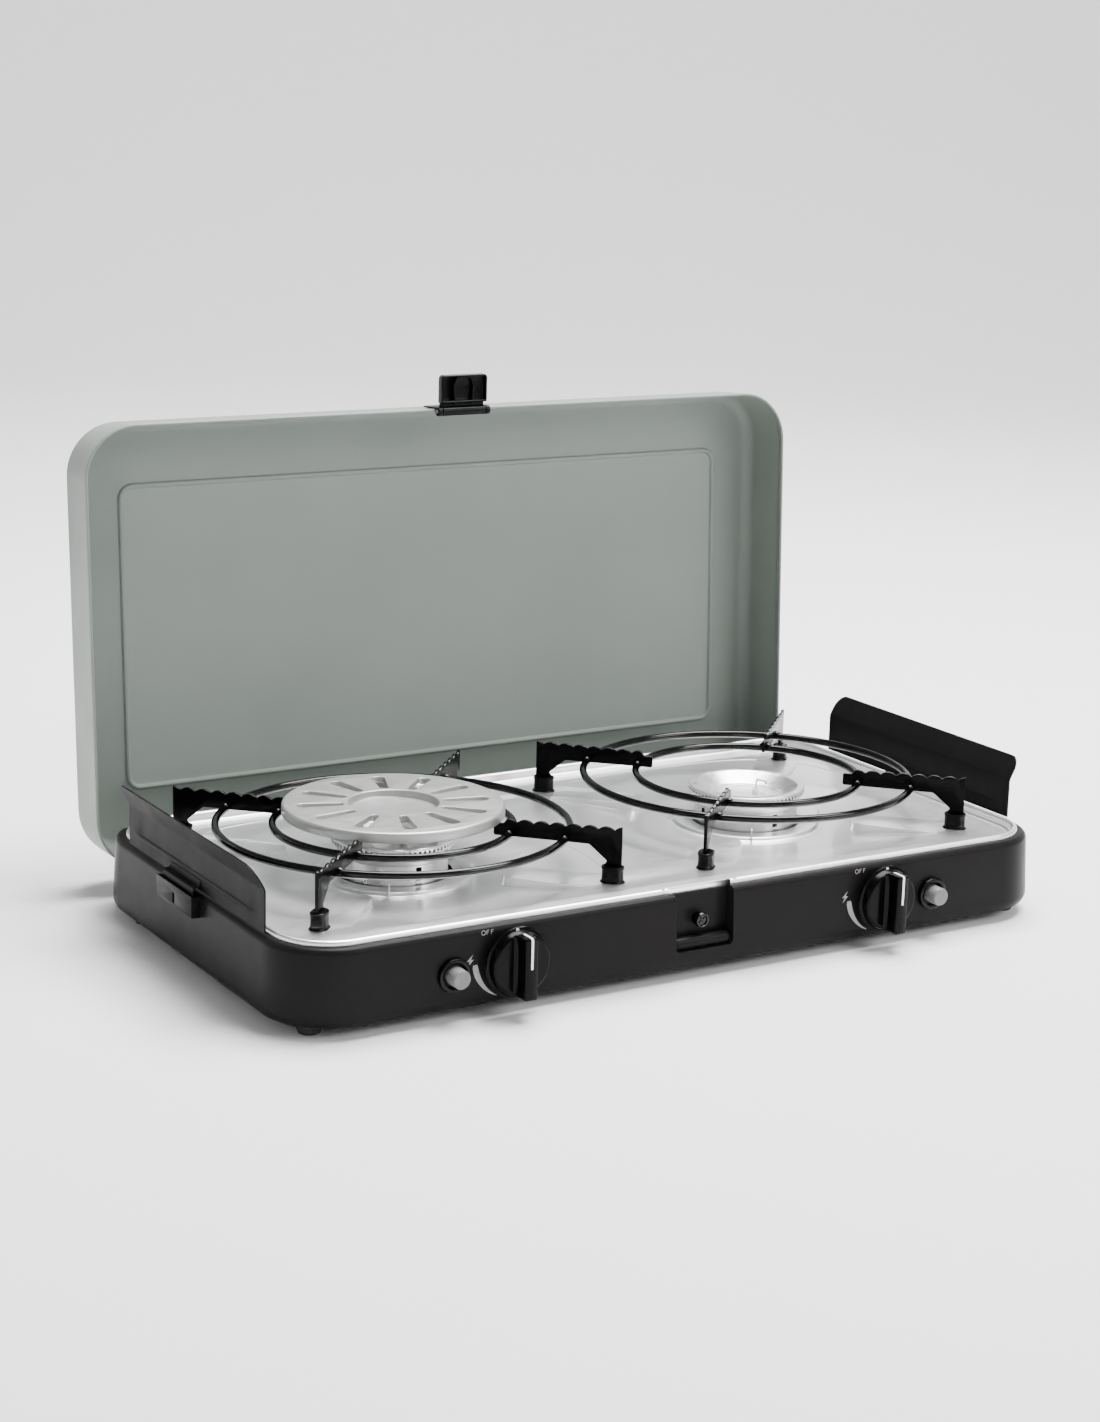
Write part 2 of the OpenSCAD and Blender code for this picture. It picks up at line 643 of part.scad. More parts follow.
module ignition_leads() color(black) from_front() for (side = [-1, 1]) {
    translate([side * igniter_x, 40, igniter_z]) rotate([-90, 0, 0]) cylinder(r = 1.2, h = burner_y - 40);
    translate([side * igniter_x, burner_y, igniter_z]) sphere(r = 1.2);
    translate([side * igniter_x, burner_y, igniter_z]) rotate([0, -90 * side, 0])
        cylinder(r = 1.2, h = igniter_x - burner_x - 24);
}

// ---------------------------------------------------------------- knobs

module spindle(side) color(brass) from_front() on_front(side * burner_x, knob_z) {
    translate([0, 0, -16]) cylinder(r = 3, h = 28.5);
}

module left_spindle() spindle(-1);
module right_spindle() spindle(1);

module knob(side) color(black) from_front() on_front(side * burner_x, knob_z) difference() {
    union() {
        rotate_extrude() polygon([[0, 3], [knob_r, 3], [knob_r, 4.6], [knob_r - 1, 5.6], [18.4, 6.6],
            [17.6, 9.2], [16.6, 9.8], [0, 9.8]]);
        intersection() {
            translate([0, 25, 0]) rotate([90, 0, 0]) linear_extrude(height = 50)
                polygon([[-5.4, 9], [5.4, 9], [4.5, 19], [3.8, 20], [-3.8, 20], [-4.5, 19]]);
            cylinder(r = 18.5, h = 30);
        }
    }
    cylinder(r = 3.05, h = 16);
    translate([0, 0, 2]) difference() {
        cylinder(r = 19, h = 3);
        cylinder(r = 7, h = 3);
    }
    translate([-0.9, 0.2, 19.6]) cube([1.8, 30, 2]);
}

module left_knob() knob(-1);
module right_knob() knob(1);

module knob_pointer(side) color(white) from_front() on_front(side * burner_x, knob_z)
    translate([-0.9, 0.2, 19.6]) cube([1.8, 17.5, 0.4]);

module left_knob_pointer() knob_pointer(-1);
module right_knob_pointer() knob_pointer(1);

// ---------------------------------------------------------------- pan supports and heat plate

module support_rings(side) color(black) from_front() at_burner(side)
    for (r = [ring_in, ring_out]) translate([0, 0, ring_z])
        rotate_extrude() translate([r, 0]) circle(r = wire_r);

module left_support_rings() support_rings(-1);
module right_support_rings() support_rings(1);

module support_arms(side) color(black) from_front() at_burner(side) difference() {
    for (i = [0 : 3]) rotate([0, 0, 45 + 90 * i]) rotate([90, 0, 0]) linear_extrude(height = 2, center = true)
        polygon(concat(
            [[132.6, 51.2], [144, 51.2], [144, 84.4]],
            [for (t = [0 : 6], part = [0, 1]) let (r = 134 - 10.1 * t)
                part == 0 ? [r + 5, 81.8 - 0.15 * t] : [r, 84 - 0.15 * t]],
            [[69, 80.6], [69, 80], [64, 80], [64, 72.5], [123.6, 72.3], [135, 62.5], [132.6, 60]]));
    for (r = [ring_in, ring_out]) translate([0, 0, ring_z]) rotate_extrude() translate([r, 0])
        circle(r = wire_r);
}

module left_support_arms() support_arms(-1);
module right_support_arms() support_arms(1);

module disc_plate() color(steel) from_front() at_burner(-1) difference() {
    rotate_extrude() polygon([[0, 81.5], [27.4, 81.5], [28.2, 82.4], [28.2, 86], [66.6, 86], [67.5, 85],
        [67.5, 80.4], [disc_r, 80.4], [disc_r, 85.6], [67.2, 87], [27.8, 87], [27.2, 86.4], [27.2, 82.9],
        [26.8, 82.5], [0, 82.5]]);
    for (i = [0 : 11]) rotate([0, 0, 30 * i + 12.5]) translate([0, 0, 83]) linear_extrude(height = 10) {
        translate([33.4, 0]) circle(r = 2.5);
        translate([55.6, 0]) circle(r = 4);
        polygon([[33.4, -2.5], [55.6, -4], [55.6, 4], [33.4, 2.5]]);
    }
}

base_casing();
drip_tray();
rubber_feet();
foot_screws();
foot_nuts();
catch_stud();
left_hinge_bracket();
right_hinge_bracket();
hinge_pins();
floor_rivets_set();
support_sockets();
left_burner_body();
right_burner_body();
left_burner_head();
right_burner_head();
left_burner_collar();
right_burner_collar();
left_burner_stand();
right_burner_stand();
burner_screws();
left_electrode();
right_electrode();
left_spark_wire();
right_spark_wire();
left_mixing_tube();
right_mixing_tube();
left_jet();
right_jet();
left_valve_body();
right_valve_body();
left_valve_bracket();
right_valve_bracket();
manifold_pipe();
gas_inlet();
inlet_nut();
left_igniter_bezel();
right_igniter_bezel();
left_piezo();
right_piezo();
ignition_leads();
lid_shell();
left_hinge_arm();
right_hinge_arm();
hinge_rivets();
latch_bracket();
latch_pin();
latch_flap();
left_windshield();
right_windshield();
left_spindle();
right_spindle();
left_knob();
right_knob();
left_knob_pointer();
right_knob_pointer();
left_igniter_button();
right_igniter_button();
left_support_rings();
right_support_rings();
left_support_arms();
right_support_arms();
disc_plate();
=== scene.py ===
import json
import math

import bmesh
import bpy
import numpy as np
from mathutils import Matrix, Vector


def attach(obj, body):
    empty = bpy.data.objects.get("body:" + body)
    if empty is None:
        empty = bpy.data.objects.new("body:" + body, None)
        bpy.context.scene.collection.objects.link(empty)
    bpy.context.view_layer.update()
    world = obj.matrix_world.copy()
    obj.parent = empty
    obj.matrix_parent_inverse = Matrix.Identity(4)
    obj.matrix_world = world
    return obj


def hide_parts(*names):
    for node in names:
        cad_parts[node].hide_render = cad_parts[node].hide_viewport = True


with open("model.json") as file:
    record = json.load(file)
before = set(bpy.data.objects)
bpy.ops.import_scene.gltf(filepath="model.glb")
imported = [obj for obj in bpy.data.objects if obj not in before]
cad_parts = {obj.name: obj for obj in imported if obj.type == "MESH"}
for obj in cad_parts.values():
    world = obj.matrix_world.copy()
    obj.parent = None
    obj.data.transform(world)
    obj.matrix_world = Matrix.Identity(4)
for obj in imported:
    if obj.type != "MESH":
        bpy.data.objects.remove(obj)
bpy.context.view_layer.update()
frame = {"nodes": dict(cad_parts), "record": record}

# ------------------------------------------------ sizes
# All in millimetres: x across the stove, y back from the casing's front face, z up from the floor.
ORIGIN_Y = 167.0                # the frame's origin, back from the front face
CASING_HALF = (272.0, 146.5)    # half the casing's width and depth
CASING_R = 42.5                 # radius of its corners
LEAN = 1.9                      # how far its walls lean in at the top
LEAN_FROM, LEAN_OVER = 13.5, 35.5
TOP = 53.0                      # upper edge of the casing
FOOT = 5.5                      # underside of the casing
SHEET = 0.8
RECESS_HALF = 20.5              # half the latch recess's width
RECESS_LOW = 17.5
BURNER_X, BURNER_Y = 132.0, 150.0
SEAT_ANGLE = 45                 # the supports' four arms stand on the diagonals
RING_Z = 73.5
RING_OUT, RING_IN = 108.6, 73.9
RING_WIRE = 2.5                 # radius of the rings' wire
DECK = 49.8                     # top of the drip tray's flat deck
BOWL = 42.0                     # lowest level of its dishes
BOWL_IN, BOWL_OUT, BOWL_POWER = 52.0, 113.5, 3.6
LEG_R = 138.6                   # a leg's distance from its burner's middle
HINGE = (276.5, 31.4)           # y and z of the lid's hinge
LID_OPEN = 92.7
LATCH = (5.0, 50.0)             # y and z of the flap's pin with the lid closed
LATCH_OPEN = 87.3
RIM = 53.3                      # the closed lid's lower edge
LID_H = 43.0
KNOB_Z = 31.5
IGNITER_X, IGNITER_Z = 171.0, 28.3
SHIELD_IN = 267.0               # inner face of the windshields
SHIELD_FRONT, SHIELD_BACK = 44, 240
SHIELD_CORNER = 9
SIDES = ((-1, "left"), (1, "right"))
SHARP = 32.0                    # degrees: flatter edges are shaded smooth


# ------------------------------------------------ points and meshes
def turn_x(p, deg, y0, z0):
    """Turns points about an axis along x through y0, z0."""
    a = math.radians(deg)
    y, z = p[:, 1] - y0, p[:, 2] - z0
    return np.c_[p[:, 0], y0 + y * math.cos(a) - z * math.sin(a), z0 + y * math.sin(a) + z * math.cos(a)]


def opened(p):
    """From the closed lid's place to the open one's."""
    return turn_x(p, -LID_OPEN, *HINGE)


def flapped(p):
    """From the closed flap's place to where it stands on the open lid."""
    return opened(turn_x(p, -LATCH_OPEN, *LATCH))


def shifted(dx=0.0, dy=0.0, dz=0.0):
    return lambda p: p + np.array([dx, dy, dz])


def mirrored(p):
    return p * np.array([-1.0, 1.0, 1.0])


def about_z(deg):
    a = math.radians(deg)
    m = np.array([[math.cos(a), math.sin(a), 0], [-math.sin(a), math.cos(a), 0], [0, 0, 1]])
    return lambda p: p @ m


def on_front(x, z, y=0.0):
    """Local z points out of the front panel, local y points up."""
    return lambda p: np.c_[p[:, 0] + x, y - p[:, 2], p[:, 1] + z]


class Shape:
    """Collects points and faces in millimetres and makes one mesh object of them."""

    def __init__(self):
        self.v, self.f, self.m = [], [], []
        self.n = 0

    def add(self, part, *moves, mat=0):
        v, f = part
        v = np.asarray(v, float).reshape(-1, 3)
        for move in moves:
            v = move(v)
        self.v.append(v)
        for face in f:
            self.f.append([i + self.n for i in face])
            self.m.append(mat)
        self.n += len(v)
        return self

    def object(self, name, sharp=SHARP):
        v = np.concatenate(self.v)
        v = np.c_[v[:, 0], v[:, 1] - ORIGIN_Y, v[:, 2]] / 1000.0
        mesh = bpy.data.meshes.new(name)
        mesh.from_pydata(v.tolist(), [], self.f)
        mesh.polygons.foreach_set("material_index", self.m)
        mesh.validate()
        o = bpy.data.objects.new(name, mesh)
        bpy.context.scene.collection.objects.link(o)
        finish_mesh(o, sharp)
        return o


def finish_mesh(o, sharp=SHARP):
    """Welds the mesh, turns its faces outward and shades it smooth up to an angle."""
    bm = bmesh.new()
    bm.from_mesh(o.data)
    bmesh.ops.remove_doubles(bm, verts=bm.verts, dist=1e-6)
    bmesh.ops.recalc_face_normals(bm, faces=bm.faces)
    limit = math.radians(sharp)
    for f in bm.faces:
        f.smooth = True
    for e in bm.edges:
        e.smooth = not (len(e.link_faces) == 2 and e.calc_face_angle(0) > limit)
    bm.to_mesh(o.data)
    bm.free()


def loft(rings, around=True, along=False, caps=True):
    """Skin over rings of points. around closes each ring, along joins the last ring to the first."""
    rings = np.asarray(rings, float)
    m, n = rings.shape[:2]
    faces = []
    for i in range(m if along else m - 1):
        j = (i + 1) % m
        for k in range(n if around else n - 1):
            q = (k + 1) % n
            faces.append([i * n + k, i * n + q, j * n + q, j * n + k])
    if caps and around and not along:
        faces.append(list(range(n))[::-1])
        faces.append([(m - 1) * n + k for k in range(n)])
    return rings.reshape(-1, 3), faces


def lathe(profile, seg=96):
    """Closed solid of revolution about z from (r, z) points; ends on the axis close by themselves."""
    rings = []
    a = np.linspace(0, 2 * math.pi, seg, endpoint=False)
    closed = profile[0][0] > 0 and profile[-1][0] > 0
    for r, z in profile:
        rings.append(np.c_[max(r, 1e-4) * np.cos(a), max(r, 1e-4) * np.sin(a), np.full(seg, z)])
    return loft(rings, along=closed, caps=not closed)


def arc(cx, cz, r, a0, a1, n=8):
    """Points on an arc from angle a0 to a1, in degrees."""
    t = np.radians(np.linspace(a0, a1, n + 1))
    return [(cx + r * math.cos(q), cz + r * math.sin(q)) for q in t]


def rect_ring(half_x, half_y, r, z, seg=14, cx=0.0, cy=0.0):
    """A rounded rectangle of points at height z."""
    pts = []
    for i, (sx, sy) in enumerate([(1, 1), (-1, 1), (-1, -1), (1, -1)]):
        for t in np.linspace(90 * i, 90 * i + 90, seg + 1):
            q = math.radians(t)
            x0, y0 = cx + sx * (half_x - r), cy + sy * (half_y - r)
            pts.append((x0 + r * math.cos(q), y0 + r * math.sin(q), z))
    return np.array(pts)


def tube(path, r, seg=16, closed=False):
    """Round bar along a path; r may be one radius or one for each point."""
    p = np.asarray(path, float)
    n = len(p)
    r = np.full(n, float(r)) if np.isscalar(r) else np.asarray(r, float)
    nxt = np.roll(p, -1, 0) if closed else np.vstack([p[1:], p[-1:]])
    prv = np.roll(p, 1, 0) if closed else np.vstack([p[:1], p[:-1]])
    t = nxt - prv
    t /= np.linalg.norm(t, axis=1)[:, None]
    up = np.array([0.0, 0.0, 1.0]) if abs(t[0][2]) < 0.9 else np.array([1.0, 0.0, 0.0])
    rings = []
    for i in range(n):
        side = np.cross(up, t[i])
        side /= np.linalg.norm(side)
        up = np.cross(t[i], side)
        a = np.linspace(0, 2 * math.pi, seg, endpoint=False)
        rings.append(p[i] + r[i] * (np.outer(np.cos(a), side) + np.outer(np.sin(a), up)))
    return loft(rings, along=closed)


def capsule(p0, p1, r, seg=20):
    """A round bar from p0 to p1 with round ends."""
    p0, p1 = np.array(p0, float), np.array(p1, float)
    d = (p1 - p0) / np.linalg.norm(p1 - p0)
    path, rad = [], []
    for end, first in ((p0, -90), (p1, 0)):
        for t in np.radians(np.linspace(first, first + 90, 7)):
            path.append(end + d * r * math.sin(t))
            rad.append(max(r * math.cos(t), 0.02))
    return tube(path, rad, seg)


def block(x0, x1, y0, y1, z0, z1, bevel=0.4, seg=2):
    """A box with rounded edges."""
    bm = bmesh.new()
    bmesh.ops.create_cube(bm, size=1.0)
    for v in bm.verts:
        v.co = Vector(((x0 + x1) / 2 + v.co.x * (x1 - x0), (y0 + y1) / 2 + v.co.y * (y1 - y0),
                       (z0 + z1) / 2 + v.co.z * (z1 - z0)))
    if bevel:
        bmesh.ops.bevel(bm, geom=list(bm.edges), offset=bevel, segments=seg, affect="EDGES", profile=0.5)
    out = taken(bm)
    bm.free()
    return out


def taken(bm):
    """The points and faces of a bmesh."""
    bm.verts.index_update()
    return np.array([v.co for v in bm.verts]), [[v.index for v in f.verts] for f in bm.faces]


def plate(outline, holes, z0, z1, bevel=0.25, res=1):
    """A flat plate with holes and rounded edges, from outlines in x and y."""
    curve = bpy.data.curves.new("plate", "CURVE")
    curve.dimensions = "2D"
    curve.fill_mode = "BOTH"
    curve.extrude = (z1 - z0) / 2 - bevel
    curve.bevel_depth = bevel
    curve.bevel_resolution = res
    curve.offset = -bevel
    for pts in [outline] + list(holes):
        s = curve.splines.new("POLY")
        s.points.add(len(pts) - 1)
        for q, (x, y) in zip(s.points, pts):
            q.co = (x, y, 0, 1)
        s.use_cyclic_u = True
    o = bpy.data.objects.new("plate", curve)
    bpy.context.scene.collection.objects.link(o)
    deps = bpy.context.evaluated_depsgraph_get()
    mesh = bpy.data.meshes.new_from_object(o.evaluated_get(deps))
    bm = bmesh.new()
    bm.from_mesh(mesh)
    bmesh.ops.remove_doubles(bm, verts=bm.verts, dist=1e-4)
    for v in bm.verts:
        v.co.z += (z0 + z1) / 2
    out = taken(bm)
    bm.free()
    bpy.data.objects.remove(o)
    bpy.data.curves.remove(curve)
    bpy.data.meshes.remove(mesh)
    return out


def boolean(o, cutter, operation="DIFFERENCE", sharp=SHARP):
    """Cuts an object with another one, or unites them, and removes the other one."""
    mod = o.modifiers.new("cut", "BOOLEAN")
    mod.operation = operation
    mod.solver = "EXACT"
    mod.object = cutter
    deps = bpy.context.evaluated_depsgraph_get()
    mesh = bpy.data.meshes.new_from_object(o.evaluated_get(deps))
    o.modifiers.remove(mod)
    old = o.data
    o.data = mesh
    bpy.data.meshes.remove(old)
    bpy.data.objects.remove(cutter)
    finish_mesh(o, sharp)
    return o


# ------------------------------------------------ materials
def surface(name, colour, rough, metal=0.0, coat=0.0, spread=0.06, rough_spread=0.08, scale=30.0,
            bump=0.0, bump_scale=900.0, stretch=(1, 1, 1), wave=0.0, wave_scale=20.0, specular=0.5,
            speck=None, speck_scale=700.0, speck_cover=0.72, coat_rough=0.1):
    """A procedural finish: soft colour and gloss changes, fine grain and a slow wave in the surface."""
    mat = bpy.data.materials.new(name)
    mat.use_nodes = True
    t = mat.node_tree
    n, link = t.nodes, t.links.new
    b = n["Principled BSDF"]
    b.inputs["Metallic"].default_value = metal
    b.inputs["Coat Weight"].default_value = coat
    b.inputs["Coat Roughness"].default_value = coat_rough
    b.inputs["Specular IOR Level"].default_value = specular
    coord = n.new("ShaderNodeTexCoord")
    place = n.new("ShaderNodeMapping")
    place.inputs["Scale"].default_value = stretch
    link(coord.outputs["Object"], place.inputs["Vector"])

    def noise(s, detail=3.0, source=place):
        q = n.new("ShaderNodeTexNoise")
        q.inputs["Scale"].default_value = s
        q.inputs["Detail"].default_value = detail
        link(source.outputs["Vector" if source is place else "Object"], q.inputs["Vector"])
        return q.outputs["Fac"]

    def spread_of(fac, low, high, out_low, out_high):
        q = n.new("ShaderNodeMapRange")
        for k, v in zip(("From Min", "From Max", "To Min", "To Max"), (low, high, out_low, out_high)):
            q.inputs[k].default_value = v
        link(fac, q.inputs["Value"])
        return q.outputs["Result"]

    mix = n.new("ShaderNodeMix")
    mix.data_type = "RGBA"
    mix.inputs["A"].default_value = tuple(c * (1 - spread) for c in colour) + (1,)
    mix.inputs["B"].default_value = tuple(min(1, c * (1 + spread)) for c in colour) + (1,)
    link(spread_of(noise(scale), 0.3, 0.7, 0, 1), mix.inputs["Factor"])
    shade = mix.outputs["Result"]
    if speck:
        dots = n.new("ShaderNodeMix")
        dots.data_type = "RGBA"
        link(shade, dots.inputs["A"])
        dots.inputs["B"].default_value = tuple(speck) + (1,)
        cover = spread_of(noise(speck_scale, 2.0, coord), speck_cover, speck_cover + 0.06, 0, 1)
        link(cover, dots.inputs["Factor"])
        shade = dots.outputs["Result"]
    link(shade, b.inputs["Base Color"])
    link(spread_of(noise(scale * 2.3, 4.0), 0.3, 0.7, max(0.02, rough - rough_spread), rough + rough_spread),
         b.inputs["Roughness"])
    normal = None
    for depth, size, detail, source in ((wave, wave_scale, 1.0, coord), (bump, bump_scale, 2.0, place)):
        if depth:
            q = n.new("ShaderNodeBump")
            q.inputs["Strength"].default_value = 1.0
            q.inputs["Distance"].default_value = depth / 1000.0
            link(noise(size, detail, source), q.inputs["Height"])
            if normal:
                link(normal, q.inputs["Normal"])
            normal = q.outputs["Normal"]
    if normal:
        link(normal, b.inputs["Normal"])
    return mat


M = {
    "black_enamel": surface("casing_enamel", (0.0088, 0.008, 0.0084), 0.34, bump=0.003,
                            bump_scale=1400, rough_spread=0.03, specular=0.055, spread=0.04),
    "rubber": surface("foot_rubber", (0.018, 0.018, 0.018), 0.75, bump=0.02, bump_scale=1500),
    "stainless_tray": surface("tray_steel", (0.94, 0.94, 0.945), 0.35, metal=1.0, rough_spread=0.02,
                              spread=0.015, stretch=(1, 10, 1), bump=0.0001, bump_scale=500, wave=0.04,
                              wave_scale=14, scale=16, coat=0.6, coat_rough=0.05),
    "zinc_steel": surface("zinc_steel", (0.62, 0.63, 0.65), 0.32, metal=1.0, scale=120, bump=0.004),
    "socket_black": surface("socket_enamel", (0.0012, 0.0012, 0.0012), 0.2, bump=0.003, bump_scale=700,
                            specular=0.16),
    "cast_aluminium": surface("head_aluminium", (0.72, 0.72, 0.715), 0.36, metal=1.0, scale=90, bump=0.0012,
                              bump_scale=1100, spread=0.03),
    "collar_steel": surface("collar_steel", (0.6, 0.6, 0.605), 0.33, metal=1.0, scale=80, bump=0.0008),
    "ceramic": surface("ceramic", (0.86, 0.84, 0.8), 0.25, coat=0.5, spread=0.03, speck=(0.5, 0.46, 0.4)),
    "brass": surface("brass", (0.72, 0.52, 0.22), 0.28, metal=1.0, scale=150, bump=0.002),
    "copper_pipe": surface("copper", (0.75, 0.42, 0.26), 0.3, metal=1.0, scale=60, spread=0.12),
    "black_plastic": surface("moulded_black", (0.0015, 0.0015, 0.0015), 0.28, bump=0.003, bump_scale=1200,
                             specular=0.15),
    "knob_black": surface("knob_plastic", (0.0012, 0.0012, 0.0013), 0.2, bump=0.002, bump_scale=1600,
                          specular=0.08),
    "lead_jacket": surface("lead_jacket", (0.015, 0.015, 0.015), 0.5, bump=0.01, bump_scale=1200),
    "lid_paint": surface("lid_enamel", (0.198, 0.226, 0.204), 0.4, bump=0.005,
                         bump_scale=1300, rough_spread=0.05, spread=0.03, scale=12, specular=0.3),
    "latch_black": surface("latch_plastic", (0.0018, 0.0024, 0.0021), 0.3, bump=0.004, bump_scale=900,
                           specular=0.1),
    "shield_black": surface("shield_enamel", (0.0085, 0.008, 0.0081), 0.45, bump=0.003, bump_scale=1400,
                            spread=0.05, rough_spread=0.04, specular=0.05),
    "pointer_white": surface("white_paint", (0.82, 0.82, 0.8), 0.45, spread=0.03, scale=300),
    "button_grey": surface("button_plastic", (0.15, 0.15, 0.148), 0.45, bump=0.012, bump_scale=1500,
                           spread=0.1, scale=260, specular=0.3),
    "support_enamel": surface("support_enamel", (0.0012, 0.0012, 0.0013), 0.12, wave=0.04,
                              wave_scale=130, rough_spread=0.04, specular=0.3),
    "plate_aluminium": surface("plate_aluminium", (0.41, 0.42, 0.405), 0.42, metal=0.8, scale=60, spread=0.03,
                               bump=0.003, bump_scale=900, rough_spread=0.04),
}
PRINT = surface("panel_print", (0.26, 0.26, 0.26), 0.5, spread=0.05, scale=200)
# the supports' black enamel with far less gloss, for the arms' side faces: painted shade that makes the sides
# darker than the upper faces
ARM_SIDE_SHADE = surface("arm_side_shade_enamel", (0.0015, 0.0015, 0.0016), 0.2, wave=0.03, wave_scale=130, rough_spread=0.05,
              specular=0.07)
# polished aluminium, its colour darker than the plate's as painted shade in the slots and on the rim and
# middle dish
POLISHED_SHADED = surface("polished_shaded_aluminium", (0.35, 0.35, 0.35), 0.17, metal=1.0, scale=40, spread=0.02,
                   bump=0.0005, bump_scale=700, rough_spread=0.04)


def put(shape, name, body, slot, replaces=(), sharp=SHARP, extra=()):
    """Makes the object, dresses it and joins it to its body."""
    o = shape.object(name, sharp) if isinstance(shape, Shape) else shape
    o.name = name
    o.data.materials.clear()
    for m in (M[slot],) + tuple(extra):
        o.data.materials.append(m)
    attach(o, body)
    if replaces:
        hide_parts(*replaces)
    return o


def dress_frame():
    """Gives every CAD node its slot's finish."""
    slots = {q["node"]: q["material_slot"] for q in frame["record"]["subparts"]}
    for name, o in frame["nodes"].items():
        if not o.data.materials:
            o.data.materials.append(M[slots[name]])
        for i in range(len(o.data.materials)):
            o.data.materials[i] = M[slots[name]]


dress_frame()


# ------------------------------------------------ casing
def swept(profile, half_x, half_y, r, cy, seg=16):
    """Closed profile of (offset from the corners' centres, z) run around a rounded rectangle."""
    rings = []
    for i, (sx, sy) in enumerate([(1, 1), (-1, 1), (-1, -1), (1, -1)]):
        for t in np.linspace(90 * i, 90 * i + 90, seg + 1):
            q = math.radians(t)
            x0, y0 = sx * (half_x - r), cy + sy * (half_y - r)
            rings.append([(x0 + o * math.cos(q), y0 + o * math.sin(q), z) for o, z in profile])
    return loft(rings, along=True)


def front_y(z):
    """Outer face of the casing's front wall at height z."""
    return LEAN * max(0.0, z - LEAN_FROM) / LEAN_OVER


def rounded_u(half, low, high, r, n=6):
    """An upright U outline in x and z with rounded bottom corners."""
    quarter = np.linspace(0, math.pi / 2, n)
    right = [(half - r + r * math.cos(a), low + r - r * math.sin(a)) for a in quarter]
    left = [(-half + r - r * math.sin(a), low + r - r * math.cos(a)) for a in quarter]
    return [(half, high)] + right + left + [(-half, high)]


def prism_y(outline, y0, y1, lean=False):
    """Extrudes an x and z outline along y; its front may lean with the wall."""
    a = np.array([(x, (front_y(z) if lean else 0) + y0, z) for x, z in outline])
    b = np.array([(x, y1, z) for x, z in outline])
    return loft([a, b])


def casing_profile():
    """Section of the casing's wall as (offset from the corners' centres, z), outer face first."""
    bend, edge, flange = 8, 4, CASING_R - 9
    low, high = CASING_R - bend, CASING_R - LEAN - edge
    outer = arc(low, FOOT + bend, bend, -90, 0) + arc(high, 49, edge, 0, 90)
    outer += [(flange + 0.4, TOP), (flange, TOP - 0.4)]
    inner = [(flange, TOP - 2.5), (flange + SHEET, TOP - 2.5), (flange + SHEET, TOP - SHEET)]
    inner += arc(high, 49, edge - SHEET, 90, 0) + arc(low, FOOT + bend, bend - SHEET, 0, -90)
    return outer + inner


def make_recess(o):
    """Forms the latch recess in the casing's front and returns its lip and bead."""
    liner = rounded_u(RECESS_HALF + 0.9, RECESS_LOW - 0.8, 51.6, 4.4)
    boolean(o, Shape().add(prism_y(liner, 0.4, 10.8, lean=True)).object("liner"), "UNION")
    cutter = rounded_u(RECESS_HALF, RECESS_LOW, 80, 3.6)
    boolean(o, Shape().add(prism_y(cutter, -10, 10)).object("cutter"))
    trim = Shape()
    lip = [(x, front_y(z) + 0.42, z) for x, z in rounded_u(RECESS_HALF + 0.45, RECESS_LOW - 0.4, 51, 4)]
    trim.add(tube(lip, 0.5, 10))
    bead_half, bead_r = 17.4, 3.9
    bead_z = RECESS_LOW + bead_r
    trim.add(capsule((-bead_half, 6.0, bead_z), (bead_half, 6.0, bead_z), bead_r))
    return trim


def add_pocket(trim, side):
    """A windshield's pocket: a slotted face with a floor and two cheeks on the casing's side."""
    quarter = np.linspace(0.2, 1.4, 4)
    slot = [(153.5 + 1.3 * math.cos(a), 45 + (2.0 if math.sin(a) > 0 else -2.0) + 1.3 * math.sin(a))
            for a in np.linspace(0, 2 * math.pi, 20, endpoint=False)]
    face = [(127, 53), (127, 41.5)] + [(128.5 - 1.5 * math.cos(a), 41 - 1.5 * math.sin(a)) for a in quarter]
    face += [(177.5 + 1.5 * math.sin(a), 41 - 1.5 * math.cos(a)) for a in quarter]
    face += [(179, 41.5), (179, 53)]
    trim.add(plate(face, [slot], 275.1, 276, 0.25), lambda p: np.c_[p[:, 2], p[:, 0], p[:, 1]], side)
    trim.add(block(269.6, 275.6, 127.2, 178.8, 39.5, 40.5, 0.35), side)
    for y in (127, 178):
        trim.add(block(269.2, 275.6, y, y + 1, 39.9, 52.6, 0.35), side)


def make_casing():
    """The casing's shell with its recess, hinge cut-outs and windshield pockets."""
    hx, hy = CASING_HALF
    flat_x, flat_y = hx - CASING_R, hy - CASING_R
    rings = [rect_ring(flat_x + q, flat_y + q, q, z, 16, 0, hy) for q, z in casing_profile()]
    o = Shape().add(loft(rings)).object("casing")
    trim = make_recess(o)
    boolean(o, Shape().add(block(-300, 300, HINGE[0], 340, 49.2, 80, 0)).object("cutter"))
    hinge_x, slot_half = 215, 3.3
    slots = Shape()
    for sx in (-1, 1):
        slots.add(block(sx * hinge_x - slot_half, sx * hinge_x + slot_half, 284, 300, 14.5, 60, 0))
    boolean(o, slots.object("cutter"))
    for side in (mirrored, shifted()):
        add_pocket(trim, side)
    return joined("casing", o, trim.object("trim"))


def joined(name, *objects):
    """One object from several."""
    bm = bmesh.new()
    for q in objects:
        bm.from_mesh(q.data)
    mesh = bpy.data.meshes.new(name)
    bm.to_mesh(mesh)
    bm.free()
    for q in objects:
        bpy.data.objects.remove(q)
    o = bpy.data.objects.new(name, mesh)
    bpy.context.scene.collection.objects.link(o)
    return o


put(make_casing(), "casing_shell", "base", "black_enamel", ["base_casing"])


# ------------------------------------------------ drip tray
def step(x, a, b):
    """Smooth step from 0 at a to 1 at b."""
    t = np.clip((x - a) / (b - a), 0, 1)
    return t * t * (3 - 2 * t)


